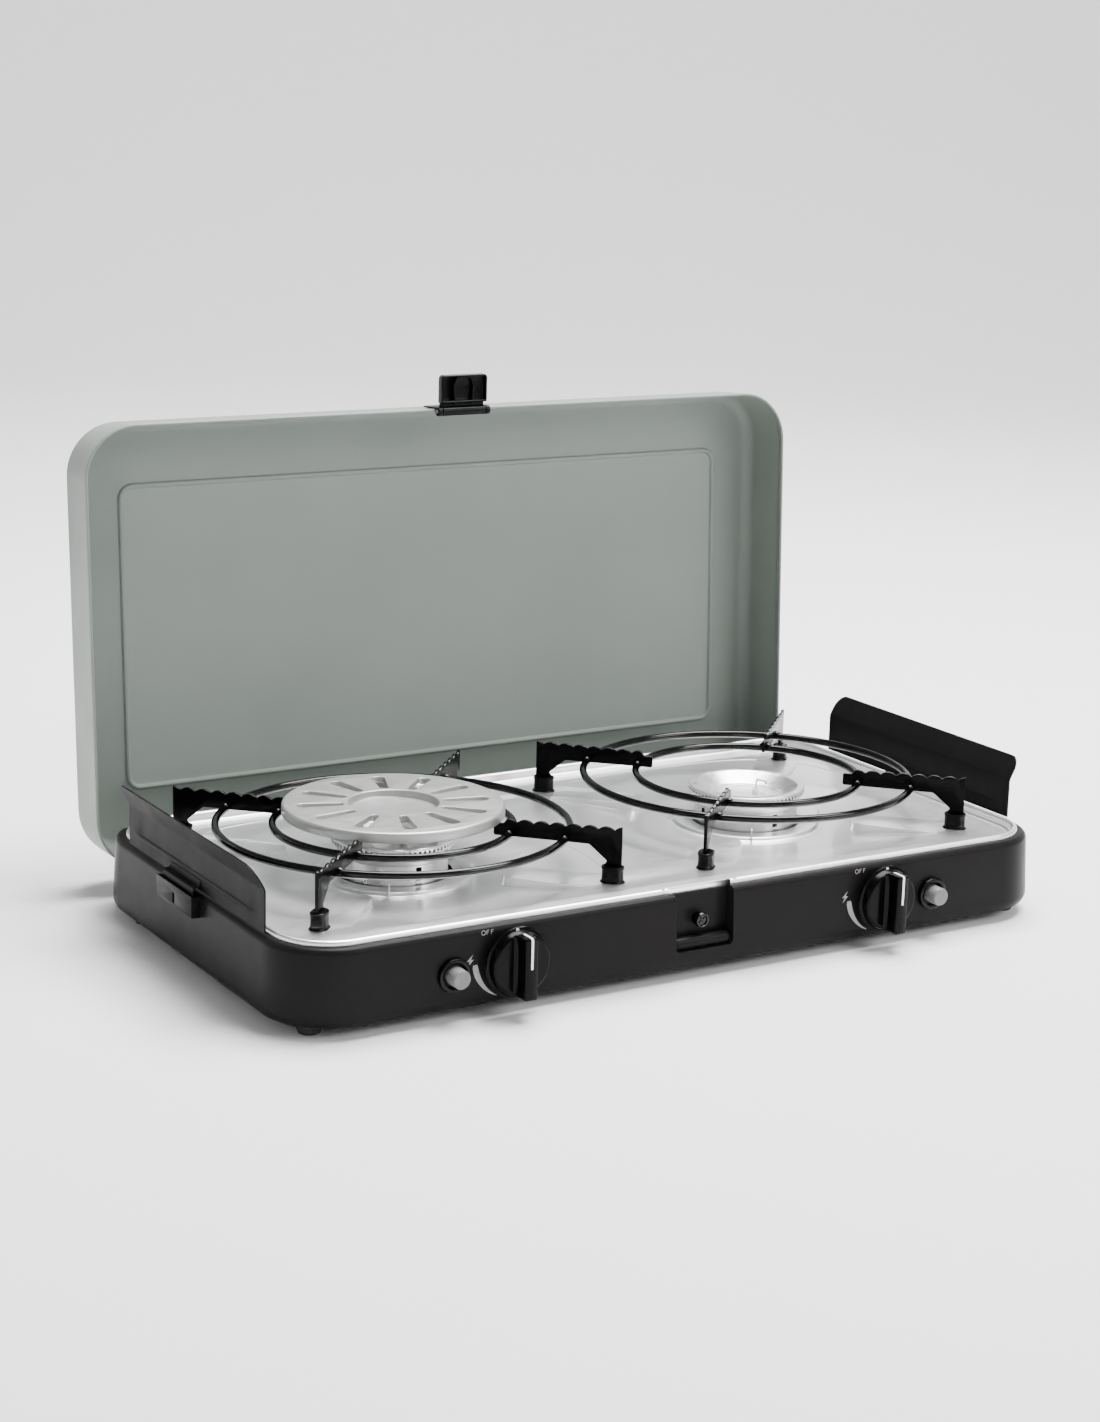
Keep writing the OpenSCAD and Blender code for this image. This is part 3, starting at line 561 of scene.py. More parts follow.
def bowl_radius(a):
    """Distance from the burner's middle to the dish's edge, a rounded square, at angle a."""
    return BOWL_OUT / (np.abs(np.cos(a)) ** BOWL_POWER + np.abs(np.sin(a)) ** BOWL_POWER) ** (1 / BOWL_POWER)


def dish_z(x, y):
    """Top of the shallow dish around a burner."""
    r = np.hypot(x, y)
    s = np.clip((r - BOWL_IN) / (bowl_radius(np.arctan2(y, x)) - BOWL_IN), 0, 1.02)
    return BOWL + (DECK - 0.35 - BOWL) * s ** 1.1


def tongue(grow=0.0):
    """One side of the flat tongue under a support's foot, from its root to its nose and back."""
    pts = [(135.0, 15.6 + grow), (100, 13.2 + grow), (80.5, 11.6 + grow)]
    for q in np.linspace(80, -80, 13):
        c, w = math.cos(math.radians(q)), math.sin(math.radians(q))
        pts.append((78.5 - (7.6 + grow) * abs(c) ** 0.8, (11.2 + grow) * np.sign(w) * abs(w) ** 0.75))
    return np.array(pts + [(80.5, -11.6 - grow), (100, -13.2 - grow), (135.0, -15.6 - grow)])


def dish_outline():
    """The deck's hole: the dish's edge, run in around the four tongues."""
    pts = []
    gap = 0.145
    for i in range(4):
        mid = math.radians(SEAT_ANGLE + 90 * i)
        turn = np.array([[math.cos(mid), math.sin(mid)], [-math.sin(mid), math.cos(mid)]])
        side = tongue()[::-1][1:-1] @ turn
        edge = bowl_radius(mid)
        root = [(edge * 0.975, -15.0), (edge * 0.94, -14.2)]
        near, far = np.array(root) @ turn, (np.array(root)[::-1] * [1, -1]) @ turn
        pts += list(near) + list(side) + list(far)
        for a in np.linspace(mid + gap, mid + math.pi / 2 - gap, 40):
            pts.append((bowl_radius(a) * math.cos(a), bowl_radius(a) * math.sin(a)))
    return np.array(pts)


def make_rim(half_x, half_y, cy, r):
    """The tray's rolled rim, cut away over the latch recess, with two small dents beside the cut."""
    prof = [(26.5, 49.3), (28.7, 49.65)] + arc(28.7, 51.55, 1.9, -75, -8, 5) + [(30.5, 53.8)]
    prof += arc(32.5, 54, 2, 176, 0, 12) + [(34.5, 53.1), (33.9, 53.1)]
    prof += arc(32.5, 54, 1.4, 0, 180, 10) + [(31.1, 51.4)]
    prof += arc(28.7, 51.5, 2.45, -8, -75, 5) + [(26.5, 48.9)]
    rim = Shape().add(swept(prof, half_x, half_y, r, cy, 18)).object("rim")
    gap = Shape().add(block(-22.5, 22.5, 0, 10.9, 50.4, 70, 0))
    for x in (-25.6, 25.6):
        gap.add(lathe([(0, -1.3), (1.0, -0.9), (1.4, 0), (1.0, 0.9), (0, 1.3)], 20), shifted(x, 8.6, 56.1))
    return boolean(rim, gap.object("gap"))


def dish_sheet(seg=288):
    """The dish from its edge down to the burner's seat, top and underside."""
    a = np.linspace(0, 2 * math.pi, seg, endpoint=False)
    rings = []
    for k in [1.012] + list(np.linspace(1, 0, 18)):
        r = BOWL_IN + (bowl_radius(a) - BOWL_IN) * k
        x, y = r * np.cos(a), r * np.sin(a)
        rings.append(np.c_[x, y, dish_z(x, y)])
    rings.append(np.c_[49.0 * np.cos(a), 49.0 * np.sin(a), np.full(seg, BOWL)])
    under = [q - [0, 0, 0.6] for q in rings[::-1]]
    return loft(rings + under, along=True)


def tongue_skirt():
    """The rounded wall that drops from a tongue's edge to the dish."""
    top, diagonal = 49.5, 0.7071
    skirt = []
    for grow, drop in ((-0.05, None), (0.25, 1.2), (0.95, -0.5), (0.2, -0.5), (-0.7, 0.5), (-0.7, None)):
        t = tongue(grow)
        if drop is None:
            z = np.full(len(t), top)
        else:
            z = dish_z(t @ [diagonal, diagonal], t @ [-diagonal, diagonal]) + drop
            z = np.minimum(z, top - 0.15 + min(drop, 0))
        skirt.append(np.c_[t, z])
    return loft(np.array(skirt).transpose(1, 0, 2))


def make_tray():
    """The drip tray: rim, deck, dishes, burner seats with their fins, and tongues."""
    half_x, r = 264.0, 34.5
    y0, y1 = 8.0, 283.5
    cy, half_y = (y0 + y1) / 2, (y1 - y0) / 2
    rim = make_rim(half_x, half_y, cy, r)
    s = Shape()
    hole = dish_outline()
    deck_r = 29.5
    outline = rect_ring(half_x - r + deck_r, half_y - r + deck_r, deck_r, 0, 16, 0, cy)[:, :2]
    holes = [(hole + [sx * BURNER_X, BURNER_Y]).tolist() for sx in (-1, 1)]
    s.add(plate(outline.tolist(), holes, 49.2, DECK, 0.28, 2))
    seat = [(50.5, -0.6), (50.5, 0.02), (49.6, 0.03), (49.1, 0.25), (48.1, 1.7), (47.7, 2.0), (47.2, 2.1),
            (37.6, 2.1), (37.0, 1.95), (36.8, 1.5), (37.2, 1.45), (37.8, 1.5), (46.9, 1.5), (48.4, -0.4),
            (49.2, -0.6)]
    fin = np.array([(47.6, 43.6), (52.2, 41.8), (51.9, 43.2), (49.5, 49.3), (48.9, 49.9), (48.2, 49.6),
                    (47.7, 47)])
    for sx in (-1, 1):
        at = shifted(sx * BURNER_X, BURNER_Y)
        s.add(dish_sheet(), at)
        s.add(lathe([(q, BOWL + h) for q, h in seat], 144), at)
        for i in range(4):
            s.add(tongue_skirt(), about_z(SEAT_ANGLE + 90 * i), at)
            s.add(loft([np.c_[fin[:, 0], np.full(7, w), fin[:, 1]] for w in (-0.4, -0.3, 0.3, 0.4)]),
                  about_z(90 * i - 30), at)
    return joined("tray", rim, s.object("sheet", 22))


put(make_tray(), "tray_pan", "base", "stainless_tray", ["drip_tray"])


# ------------------------------------------------ feet and sockets
def make_feet():
    s = Shape()
    prof = [(3.8, 0), (5.6, 0), (6.3, 0.4), (6.9, 1.6), (6.9, 5.4), (2.2, 5.5), (2.2, 2.2), (3.8, 2.2)]
    for x, y in ((-250, 24), (250, 24), (-256, 244), (256, 244)):
        s.add(lathe(prof, 40), shifted(x, y))
    return s


put(make_feet(), "feet", "base", "rubber", ["rubber_feet"])


def make_sockets():
    """Oval cups with a slot for the supports' legs."""
    s = Shape()
    seg = 48
    a = np.linspace(0, 2 * math.pi, seg, endpoint=False)
    c, w = np.cos(a), np.sin(a)
    square = np.maximum(np.abs(c), np.abs(w))

    def oval(r, z):
        return np.c_[LEG_R + 2.1 * np.sign(c) * (np.abs(c) > 1e-9) + r * c, r * w, np.full(seg, z)]

    def slot(k, z):
        return np.c_[LEG_R + k * 6.0 * c / square, k * 1.6 * w / square, np.full(seg, z)]

    rings = [oval(5.7, 49.85), oval(5.6, 50.2), oval(5.0, 50.7), oval(4.7, 51.5), oval(4.6, 53),
             oval(4.6, 57.6), oval(4.9, 58.4), oval(5.0, 59.1), oval(4.85, 59.7), oval(4.45, 59.9),
             slot(1.0, 59.9), slot(0.98, 59.5), slot(0.98, 51)]
    for sx in (-1, 1):
        for i in range(4):
            s.add(loft(rings), about_z(SEAT_ANGLE + 90 * i), shifted(sx * BURNER_X, BURNER_Y))
    return s


put(make_sockets(), "sockets", "base", "socket_black", ["support_sockets"])


# ------------------------------------------------ burners
PORTS = 72
HEAD_SEG = PORTS * 4
PORT_DEPTH = 5.0
PORT_LOW, PORT_HIGH = (38.38, 64.0), (38.4, 65.8)


def make_head(side):
    """The cup-shaped head; its ports are two of every four faces in one row of its skin, sunk in; their back
    faces take a dark second material as painted shade.
    """
    prof = [(0, 57.4), (27.5, 57.4), (28.6, 56.2), (30.4, 55.6), (33.6, 55.7), (34.4, 56.4), (34.9, 58.6),
            (36.4, 61.0), (37.7, 62.5), (38.2, 63.2), PORT_LOW, PORT_HIGH, (38.4, 66.4), (38.25, 67.0),
            (37.8, 67.4), (37.3, 67.5), (34.3, 67.5), (33.7, 67.42), (33.1, 67.15), (32.4, 66.65),
            (28.5, 63.7), (25.1, 61.1), (24.5, 60.75), (23.9, 60.6), (23.6, 60.55), (23.5, 60.1),
            (23.2, 59.95), (22.4, 60), (14, 60), (13.2, 60.35), (9, 60.3), (0, 60.3)]
    v, faces = lathe(prof, HEAD_SEG)
    v = [tuple(q) for q in v]
    row = prof.index(PORT_LOW)
    low, high = row * HEAD_SEG, (row + 1) * HEAD_SEG
    walls, port_shade_backs = [], []
    for f in faces:
        k = f[0] % HEAD_SEG
        if len(f) != 4 or f[0] // HEAD_SEG != row or k % 4 not in (1, 2):
            walls.append(f)
        elif k % 4 == 1:
            n = len(v)
            loop = (low + k, low + k + 1, low + k + 2, high + k + 2, high + k + 1, high + k)
            for q in loop:
                shrink = 1 - PORT_DEPTH / math.hypot(v[q][0], v[q][1])
                v.append((v[q][0] * shrink, v[q][1] * shrink, v[q][2]))
            walls += [[loop[i], loop[(i + 1) % 6], n + (i + 1) % 6, n + i] for i in range(6)]
            port_shade_backs += [[n, n + 1, n + 4, n + 5], [n + 1, n + 2, n + 3, n + 4]]
    s = Shape().add((v, walls + port_shade_backs), shifted(side * BURNER_X, BURNER_Y))
    # the ports' back faces take material 1, the dark lead jacket, as painted shade for the head's dark inside
    s.m = [0] * len(walls) + [1] * len(port_shade_backs)
    return s


def make_collar(side):
    """The neck's collar with its foot flange and four windows."""
    o = Shape().add(lathe([(33.3, 35.8), (40.8, 35.8), (41, 36.1), (40.8, 36.5), (34.8, 36.5), (34.2, 36.8),
                           (34, 37.4), (34, 55.5), (33.9, 55.8), (33.6, 55.9), (33.3, 55.8)], 120),
                    shifted(side * BURNER_X, BURNER_Y)).object("collar")
    cut = Shape()
    for i in range(4):
        cut.add(block(30, 37, -1.9, 1.9, 46, 54.5, 0), about_z(90 * i), shifted(side * BURNER_X, BURNER_Y))
    return boolean(o, cut.object("windows"))


for side, word in SIDES:
    # the lead jacket's dark is the head's second material: painted shade on the ports' backs
    put(make_head(side), word + "_head", "base", "cast_aluminium", [word + "_burner_head"], sharp=24,
        extra=(M["lead_jacket"],))
    put(make_collar(side), word + "_collar", "base", "collar_steel", [word + "_burner_collar"])
    at = shifted(side * BURNER_X + 6, BURNER_Y - 3)
    white = [(0, 46), (2.6, 46), (2.6, 61.6), (2.9, 62), (2.9, 63), (2.4, 63.8), (1.5, 64.8), (0, 65)]
    put(Shape().add(lathe(white, 32), at), word + "_insulator", "base", "ceramic", [word + "_electrode"])
    hook = [(0, 0, 63.5), (0, 0, 67.5), (0, 0, 68.8), (0.1, -0.2, 69.5), (0.5, -0.6, 69.95),
            (1.1, -1.2, 70.1), (2.4, -2.4, 69.9), (3.6, -3.6, 69.5), (4.3, -4.3, 69.0), (4.6, -4.6, 68.3),
            (4.7, -4.7, 67.2)]
    put(Shape().add(tube(hook, 0.75, 12), at), word + "_hook", "base", "zinc_steel", [word + "_spark_wire"])


# ------------------------------------------------ pan supports
def arm_outline():
    """Side view of an arm: its leg, its scalloped top edge and its nose under the plate."""
    first, pitch, deep = 73.5, 10.1, 2.3
    pts = [(132.6, 51.4), (143.6, 51.4), (144, 52), (144, 84.2), (143.4, 84.5)]
    r = 143.4
    while r > 71.5:
        t = (r - first) % pitch / pitch
        peak = 83.3 + (r - first) * 0.013
        bump = abs(math.cos(math.pi * t)) ** 0.7
        pts.append((r, peak - deep * (1 - bump)))
        r -= 0.7
    pts += [(70.6, 80.9), (69.6, 80.1), (64.8, 80.1), (64, 79.4), (64, 73.3), (64.8, 72.5), (123.2, 72.4),
            (124.4, 71.8), (134.4, 63.4), (134.9, 62.4), (132.8, 59.8)]
    return pts


def make_rings(side):
    s = Shape()
    a = np.linspace(0, 2 * math.pi, 160, endpoint=False)
    for r in (RING_IN, RING_OUT):
        path = np.c_[r * np.cos(a), r * np.sin(a), np.full(len(a), RING_Z)]
        s.add(tube(path, RING_WIRE, 20, closed=True), shifted(side * BURNER_X, BURNER_Y))
    return s


def make_arms(side):
    """Four toothed arms and the weld beads that join them to the rings."""
    s = Shape()
    at = shifted(side * BURNER_X, BURNER_Y)
    flat = plate(arm_outline(), [], -1.05, 1.05, 0.35, 2)
    for i in range(4):
        turned = about_z(SEAT_ANGLE + 90 * i)
        s.add(flat, lambda p: np.c_[p[:, 0], -p[:, 2], p[:, 1]], turned, at)
        for r in (RING_IN, RING_OUT):
            for w in (-1, 1):
                weld = capsule((r, w * 1.5, RING_Z + 1.2), (r, w * 2.4, RING_Z + 0.9), RING_WIRE, 14)
                s.add(weld, turned, at)
    return s


for side, word in SIDES:
    put(make_rings(side), word + "_rings", word + "_support", "support_enamel", [word + "_support_rings"])
    arms = put(make_arms(side), word + "_arms", word + "_support", "support_enamel", [word + "_support_arms"],
               extra=(ARM_SIDE_SHADE,))
    # upward faces keep the glossy enamel; side and under faces take the dull copy as painted shade
    for face in arms.data.polygons:
        face.material_index = 0 if face.normal.z > 0.3 else 1


PLATE_SLOTS = 12


def tapered(d=0.0, n=12):
    """Outline of one of the plate's slots, wider toward the rim, grown by d."""
    c0, r0, c1, r1 = 33.6, 2.7 + d, 55.4, 4.2 + d
    lean = math.asin((r1 - r0) / (c1 - c0))
    half = math.pi / 2 + lean
    pts = [(c1 + r1 * math.cos(q), r1 * math.sin(q)) for q in np.linspace(-half, half, n)]
    pts += [(c0 + r0 * math.cos(q), r0 * math.sin(q)) for q in np.linspace(half, 2 * math.pi - half, n)]
    return np.array(pts)


def circle(r, n=144):
    return [(r * math.cos(a), r * math.sin(a)) for a in np.linspace(0, 2 * math.pi, n, endpoint=False)]


def make_disc():
    """The heat plate: a slotted top, with slot lips, rim and middle dish in a polished metal coloured darker
    than the top, the darkness painted shade.
    """
    s = Shape()
    at = shifted(-BURNER_X, BURNER_Y)
    holes = []
    lip = [(0.55, 86.6), (0.1, 86.55), (-0.05, 86.2), (-0.2, 85.0), (-0.2, 83.6), (0.1, 83.4), (0.45, 83.7),
           (0.7, 85.2)]
    for i in range(PLATE_SLOTS):
        q = math.radians(360 / PLATE_SLOTS * i + 12.5)
        turn = np.array([[math.cos(q), math.sin(q)], [-math.sin(q), math.cos(q)]])
        holes.append((tapered() @ turn).tolist())
        s.add(loft([np.c_[tapered(d) @ turn, np.full(24, z)] for d, z in lip], along=True), at, mat=1)
    s.add(plate(circle(66.9), holes + [circle(28.2)], 86.0, 87.0, 0.42, 3), at)
    rim = [(64.6, 86.2), (65.6, 86.7), (66.5, 86.98)] + arc(66.5, 85.0, 2.0, 80, 0, 8)
    rim += [(68.5, 81.0), (68.35, 80.6), (68.0, 80.4), (67.6, 80.5), (67.45, 81.0), (67.45, 85.0),
            (66.9, 85.8)]
    s.add(lathe(rim, 160), at, mat=1)
    dish = [(0, 82.5), (26.2, 82.5), (26.9, 82.65), (27.35, 83.1), (27.5, 83.7), (27.8, 86.2)]
    dish += arc(28.6, 86.2, 0.8, 180, 95, 6)
    dish += [(29.2, 86.75), (29.3, 86.2), (28.7, 85.9), (28.4, 83.4), (27.9, 82.2), (27, 81.5), (0, 81.5)]
    s.add(lathe(dish, 144), at, mat=1)
    return s


# the disc's second material is the darker polished metal: a polished finish with painted shade
put(make_disc(), "heat_disc", "heat_plate", "plate_aluminium", ["disc_plate"], extra=(POLISHED_SHADED,))


# ------------------------------------------------ windshields
def shield_stations():
    """Places along y where the windshield's section is set, close together at its round corners."""
    turn = np.linspace(0, 1, 12)
    front = [SHIELD_FRONT + SHIELD_CORNER * (1 - math.cos(a * math.pi / 2)) for a in turn]
    back = [SHIELD_BACK - SHIELD_CORNER + SHIELD_CORNER * math.sin(a * math.pi / 2) for a in turn]
    return front + list(np.linspace(60, 224, 20)) + back


def shield_top(y, top):
    """Height of the windshield's upper edge at y."""
    past = max(SHIELD_FRONT + SHIELD_CORNER - y, y - SHIELD_BACK + SHIELD_CORNER, 0)
    return top - SHIELD_CORNER + math.sqrt(SHIELD_CORNER ** 2 - min(past, SHIELD_CORNER) ** 2)


def make_shield(sx):
    """A sheet with a flared top, round corners, a long bead and a hook for its pocket."""
    s = Shape()
    side = mirrored if sx < 0 else shifted()
    x, top, thick = SHIELD_IN, 94.1, 1.0
    inner = np.array([(x, 54.5), (x, 61.4), (x + 0.5, 62.2), (x + 0.7, 63.0), (x + 0.5, 63.8), (x, 64.6),
                      (x, 78.6), (x + 0.2, 79.8), (x + 0.8, 81.3), (x + 8.1, top)])
    bead_points = slice(2, 5)
    t = np.gradient(inner, axis=0)
    t /= np.linalg.norm(t, axis=1)[:, None]
    outer = inner + np.c_[t[:, 1], -t[:, 0]] * thick
    flare = math.tan(math.radians(30))
    rings = []
    for y in shield_stations():
        edge = shield_top(y, top)
        bead = step(y, 52, 59) * (1 - step(y, 225, 232))
        ring = []
        for pts, base in ((inner, x), (outer, x + thick)):
            q = pts.copy()
            q[bead_points, 0] = base + (q[bead_points, 0] - base) * bead
            high = q[:, 1] > edge
            q[high, 0] -= (q[high, 1] - edge) * flare
            q[high, 1] = edge
            ring.append(np.c_[q[:, 0], np.full(len(q), y), q[:, 1]])
        rings.append(np.vstack([ring[0], ring[1][::-1]]))
    s.add(loft(rings), side)
    hook = [(0.4, 60.5), (0.9, 57.4), (2.2, 56.6), (4.4, 56.4), (5.4, 55.6), (5.6, 54), (5.6, 42.5),
            (6.0, 42), (6.4, 42.5), (6.4, 54.4), (5.9, 56.4), (4.6, 57.3), (2.6, 57.5), (1.8, 58.2),
            (1.4, 60.5)]
    s.add(loft([np.array([(x + d, y, z) for d, z in hook]) for y in (131, 131.4, 174.6, 175)]), side)
    return s


for sx, word in SIDES:
    put(make_shield(sx), word + "_shield", word + "_shield", "shield_black", [word + "_windshield"], sharp=40)


# ------------------------------------------------ lid
def make_lid():
    """The lid's drawn shell with a groove pressed around its middle field."""
    r, top, bend, draft = 35.0, RIM + LID_H, 9, 1.1
    hx, hy, cy = 266.0, 143.0, 3.5 + 143.0

    def ring(q, z):
        return rect_ring(hx - r + q, hy - r + q, max(q, 0.5), z, 16, 0, cy)

    def inset(d, z):
        return rect_ring(229.5 + d, 99.3 + d, 8.5 + d, z, 16, 2.5, cy)

    outer = [(r - 0.5, RIM), (r, RIM + 0.5), (r, RIM + 3.0), (r - 0.15, RIM + 3.6)]
    outer += arc(r - draft - bend, top - bend, bend, 0, 90, 10)
    inner = arc(r - draft - bend, top - bend, bend - SHEET, 90, 0, 10)
    inner += [(r - SHEET - 0.15, RIM + 4.2), (r - 1.5, RIM + 3.4), (r - 1.7, RIM + 0.8), (r - 1.2, RIM)]
    groove = [(2.3, 0), (1.9, 0.15), (1.0, 1.5), (0, 1.9), (-1.0, 1.5), (-1.9, 0.15), (-2.3, 0)]
    rings = [inset(d, top - g) for d, g in groove[::-1]]
    rings += [ring(q, z) for q, z in outer[::-1]]
    rings += [ring(q, z) for q, z in inner[::-1]]
    rings += [inset(d, top - SHEET - g) for d, g in groove]
    return Shape().add(loft(rings), opened)


put(make_lid(), "lid_pan", "lid", "lid_paint", ["lid_shell"])


def make_latch_bracket():
    """The plate on the lid's edge, with two ears around the pin."""
    s = Shape()
    y0, z0 = LATCH
    s.add(block(-19.5, 19.5, 2.3, 3.5, 54.8, 69.8, 0.4), opened)
    ear = arc(y0, z0, 3.0, 150, 420, 22) + [(3.5, 53.2), (3.5, 57), (2.3, 57), (2.1, 53)]
    for x in (-19.5, 16.5):
        s.add(loft([np.array([(x + d, y + (y0 - y) * k, z + (z0 - z) * k) for y, z in ear])
                    for d, k in ((0, 0.08), (0.25, 0), (2.75, 0), (3, 0.08))]), opened)
    return s


def make_flap():
    """The latch flap: a barrel, a neck and a shallow tray with two curved ribs and an arch."""
    s = Shape()
    y0, z0 = LATCH
    s.add(tube([(x, y0, z0) for x in (-16.2, -15.9, 15.9, 16.2)], [2.7, 3.0, 3.0, 2.7], 28), flapped)

    def inset(k, y):
        outline = rounded_u(17.25 - k, z0 - 24 + k, z0 - 5.6 - k, max(2.6 - k, 0.6), 8)
        return np.array([(x, y, z) for x, z in outline])

    rings = [inset(1.1, y0 - 3.8), inset(0.3, y0 - 3.6), inset(0, y0 - 3.1), inset(0, y0 + 1.5),
             inset(0.35, y0 + 2), inset(0.85, y0 + 2), inset(1.2, y0 + 1.6), inset(1.3, y0 - 2.2),
             inset(2.0, y0 - 2.6)]
    s.add(loft(rings), flapped)
    s.add(block(-16.2, 16.2, y0 - 3.8, y0 - 0.9, z0 - 6, z0 - 2, 0.3), flapped)
    back, front = y0 - 3, y0 + 0.9
    for sx in (-1, 1):
        rib = []
        for t in np.linspace(0, 1, 16):
            z = z0 - 4.6 - 17.6 * t
            x = sx * (7.1 - 0.6 * math.cos(t * 3.1) - 2.6 * max(0, t - 0.7) / 0.3)
            rib.append(np.array([(x - 0.5, back, z), (x + 0.5, back, z), (x + 0.5, front, z),
                                 (x, front + 0.25, z), (x - 0.5, front, z)]))
        s.add(loft(rib), flapped)
    arch = []
    for q in np.linspace(0, math.pi, 13):
        x, z = 5.0 * math.cos(q), z0 - 21.6 - math.sin(q)
        wide, slim, low, high = x * 1.07, x * 0.93, z - 0.5, z + 0.5
        arch.append(np.array([(slim, back, high), (wide, back, low), (wide, front, low),
                              (slim, front, high)]))
    s.add(loft(arch), flapped)
    return s


put(make_latch_bracket(), "latch_bracket_body", "lid", "latch_black", ["latch_bracket"])
put(make_flap(), "latch_flap_body", "latch", "latch_black", ["latch_flap"])


# ------------------------------------------------ knobs, igniters, prints
def make_knob(side):
    """A knob's round skirt and the waisted grip bar across it."""
    s = Shape()
    at = on_front(side * BURNER_X, KNOB_Z)
    prof = [(3.2, 3.3), (7, 3.3), (7.4, 5.2), (18.6, 5.2), (19.2, 3.0), (20.6, 3.0), (21.0, 3.3), (21.0, 4.2),
            (20.7, 4.6), (20.0, 4.75), (19.4, 5.0), (18.6, 8.6), (18.2, 9.3), (17.5, 9.7), (16.6, 9.8),
            (3.2, 9.8)]
    s.add(lathe(prof, 120), at)
    reach = 18.5
    rings = []
    for y in np.linspace(0.1 - reach, reach - 0.1, 41):
        waist = 1 - 0.22 * math.sqrt(max(0.0, 1 - (abs(y) / reach) ** 2))
        end = min(1.0, (reach - abs(y)) / 1.2)
        end = math.sqrt(max(0.02, 1 - (1 - end) ** 2))
        half = [(6.6, 9.4), (5.6, 10.2), (5.0 * waist + 0.3, 11.6), (4.35, 15), (4.3, 18.6), (3.9, 19.6),
                (3.2, 19.1 + 0.9 * end)]
        w = 0.72 + 0.28 * end
        rings.append([(a * w, y, z) for a, z in half] + [(-a * w, y, z) for a, z in half[::-1]])
    s.add(loft(rings), at)
    return s


def make_pointer(side):
    """The white stripe along the grip's upper half, and the dot on the skirt."""
    s = Shape()
    at = on_front(side * BURNER_X, KNOB_Z)
    path = [(0.2, 20.06), (17.4, 20.06), (17.9, 19.95), (18.3, 19.6), (18.5, 19.0), (18.56, 10.4)]
    half = 0.75
    rings = []
    for y, z in path:
        up, out = (0.0, 0.12) if y < 17.5 else ((0.09, 0.09) if y < 18.4 else (0.12, 0.0))
        rings.append([(-half, y, z), (half, y, z), (half, y + up, z + out), (-half, y + up, z + out)])
    s.add(loft(rings), at)
    s.add(lathe([(0, 0), (1.0, 0), (1.0, 0.25), (0.7, 0.4), (0, 0.4)], 24),
          lambda p: np.c_[p[:, 0] - 1.2, p[:, 1] + 19.6, p[:, 2] + 4.85], at)
    return s


def make_bezel(side):
    prof = [(6.9, -7), (8.3, -7), (8.3, -1.4), (10.1, -1.4), (10.3, -0.9), (10.3, 1.2), (10.0, 1.9),
            (9.2, 2.3), (8.4, 2.35), (7.7, 2.1), (7.2, 1.4), (6.9, 0.4)]
    return Shape().add(lathe(prof, 64), on_front(side * IGNITER_X, IGNITER_Z))


def make_button(side):
    at = on_front(side * IGNITER_X, IGNITER_Z)
    prof = [(0, -10), (4, -10), (4, -2.6), (5.7, -2.6), (5.8, -2), (5.6, 8.8), (5.35, 9.4), (4.9, 9.72),
            (4.3, 9.8), (0, 9.8)]
    return Shape().add(lathe(prof, 64), at).add(bolt(0.55, 9.82, 0.1), at, mat=1)


def bolt(k, z, h):
    """A small zigzag mark, k times its full size, h thick."""
    pts = [(1.9, 3.5), (-2.2, -0.35), (-0.2, -0.35), (-1.9, -3.6), (2.2, 0.4), (0.2, 0.4)]
    a = np.array([(x * k, y * k, z) for x, y in pts])
    return loft([a, a + np.array([0, 0, h])])


def on_panel(x, z):
    """Like on_front, but laid on the panel's face, which leans back with height."""
    def move(p):
        height = p[:, 1] + z
        return np.c_[p[:, 0] + x, np.array([front_y(q) for q in height]) - p[:, 2], height]
    return move


def ribbon(path, widths, h=0.05, z=0.0):
    """A flat printed stroke along a path in x and y."""
    p = np.array(path, float)
    t = np.gradient(p, axis=0)
    t /= np.linalg.norm(t, axis=1)[:, None]
    nrm = np.c_[-t[:, 1], t[:, 0]]
    w = np.broadcast_to(np.asarray(widths, float), (len(p),))[:, None] / 2
    rings = []
    for a, b in zip(p + nrm * w, p - nrm * w):
        rings.append([(a[0], a[1], z), (b[0], b[1], z), (b[0], b[1], z + h), (a[0], a[1], z + h)])
    return loft(rings)


def make_prints():
    """Beside each knob: the word OFF, a narrowing arc and a spark mark."""
    s = Shape()
    left, low, height, pitch, stroke = -19.5, 17.2, 2.6, 2.9, 0.36
    top, middle = low + height - 0.14, low + height / 2
    ring = [(left + 1.2 * math.cos(a), middle + height / 2 * math.sin(a))
            for a in np.linspace(0, 2 * math.pi, 25)]
    along = np.linspace(0, 1, 30)
    a = np.radians(np.linspace(179, 240, 30))
    width = np.interp(along, [0, 0.06, 0.3, 1], [2.6, 3.6, 3.4, 0.25])
    rad = np.interp(along, [0, 1], [25.2, 22.4])
    for side in (-1, 1):
        at = on_panel(side * BURNER_X, KNOB_Z)
        s.add(ribbon(ring, 0.38), at)
        for k in (1, 2):
            x = left + pitch * k - 0.8
            s.add(ribbon([(x, low), (x, low + height)], stroke), at)
            s.add(ribbon([(x, top), (x + 1.5, top)], stroke), at)
            s.add(ribbon([(x, middle + 0.1), (x + 1.2, middle + 0.1)], stroke), at)
        s.add(ribbon(np.c_[rad * np.cos(a), rad * np.sin(a)], width), at)
        s.add(bolt(1.0, 0.0, 0.05), shifted(-28.2, 3.4), at)
    return s


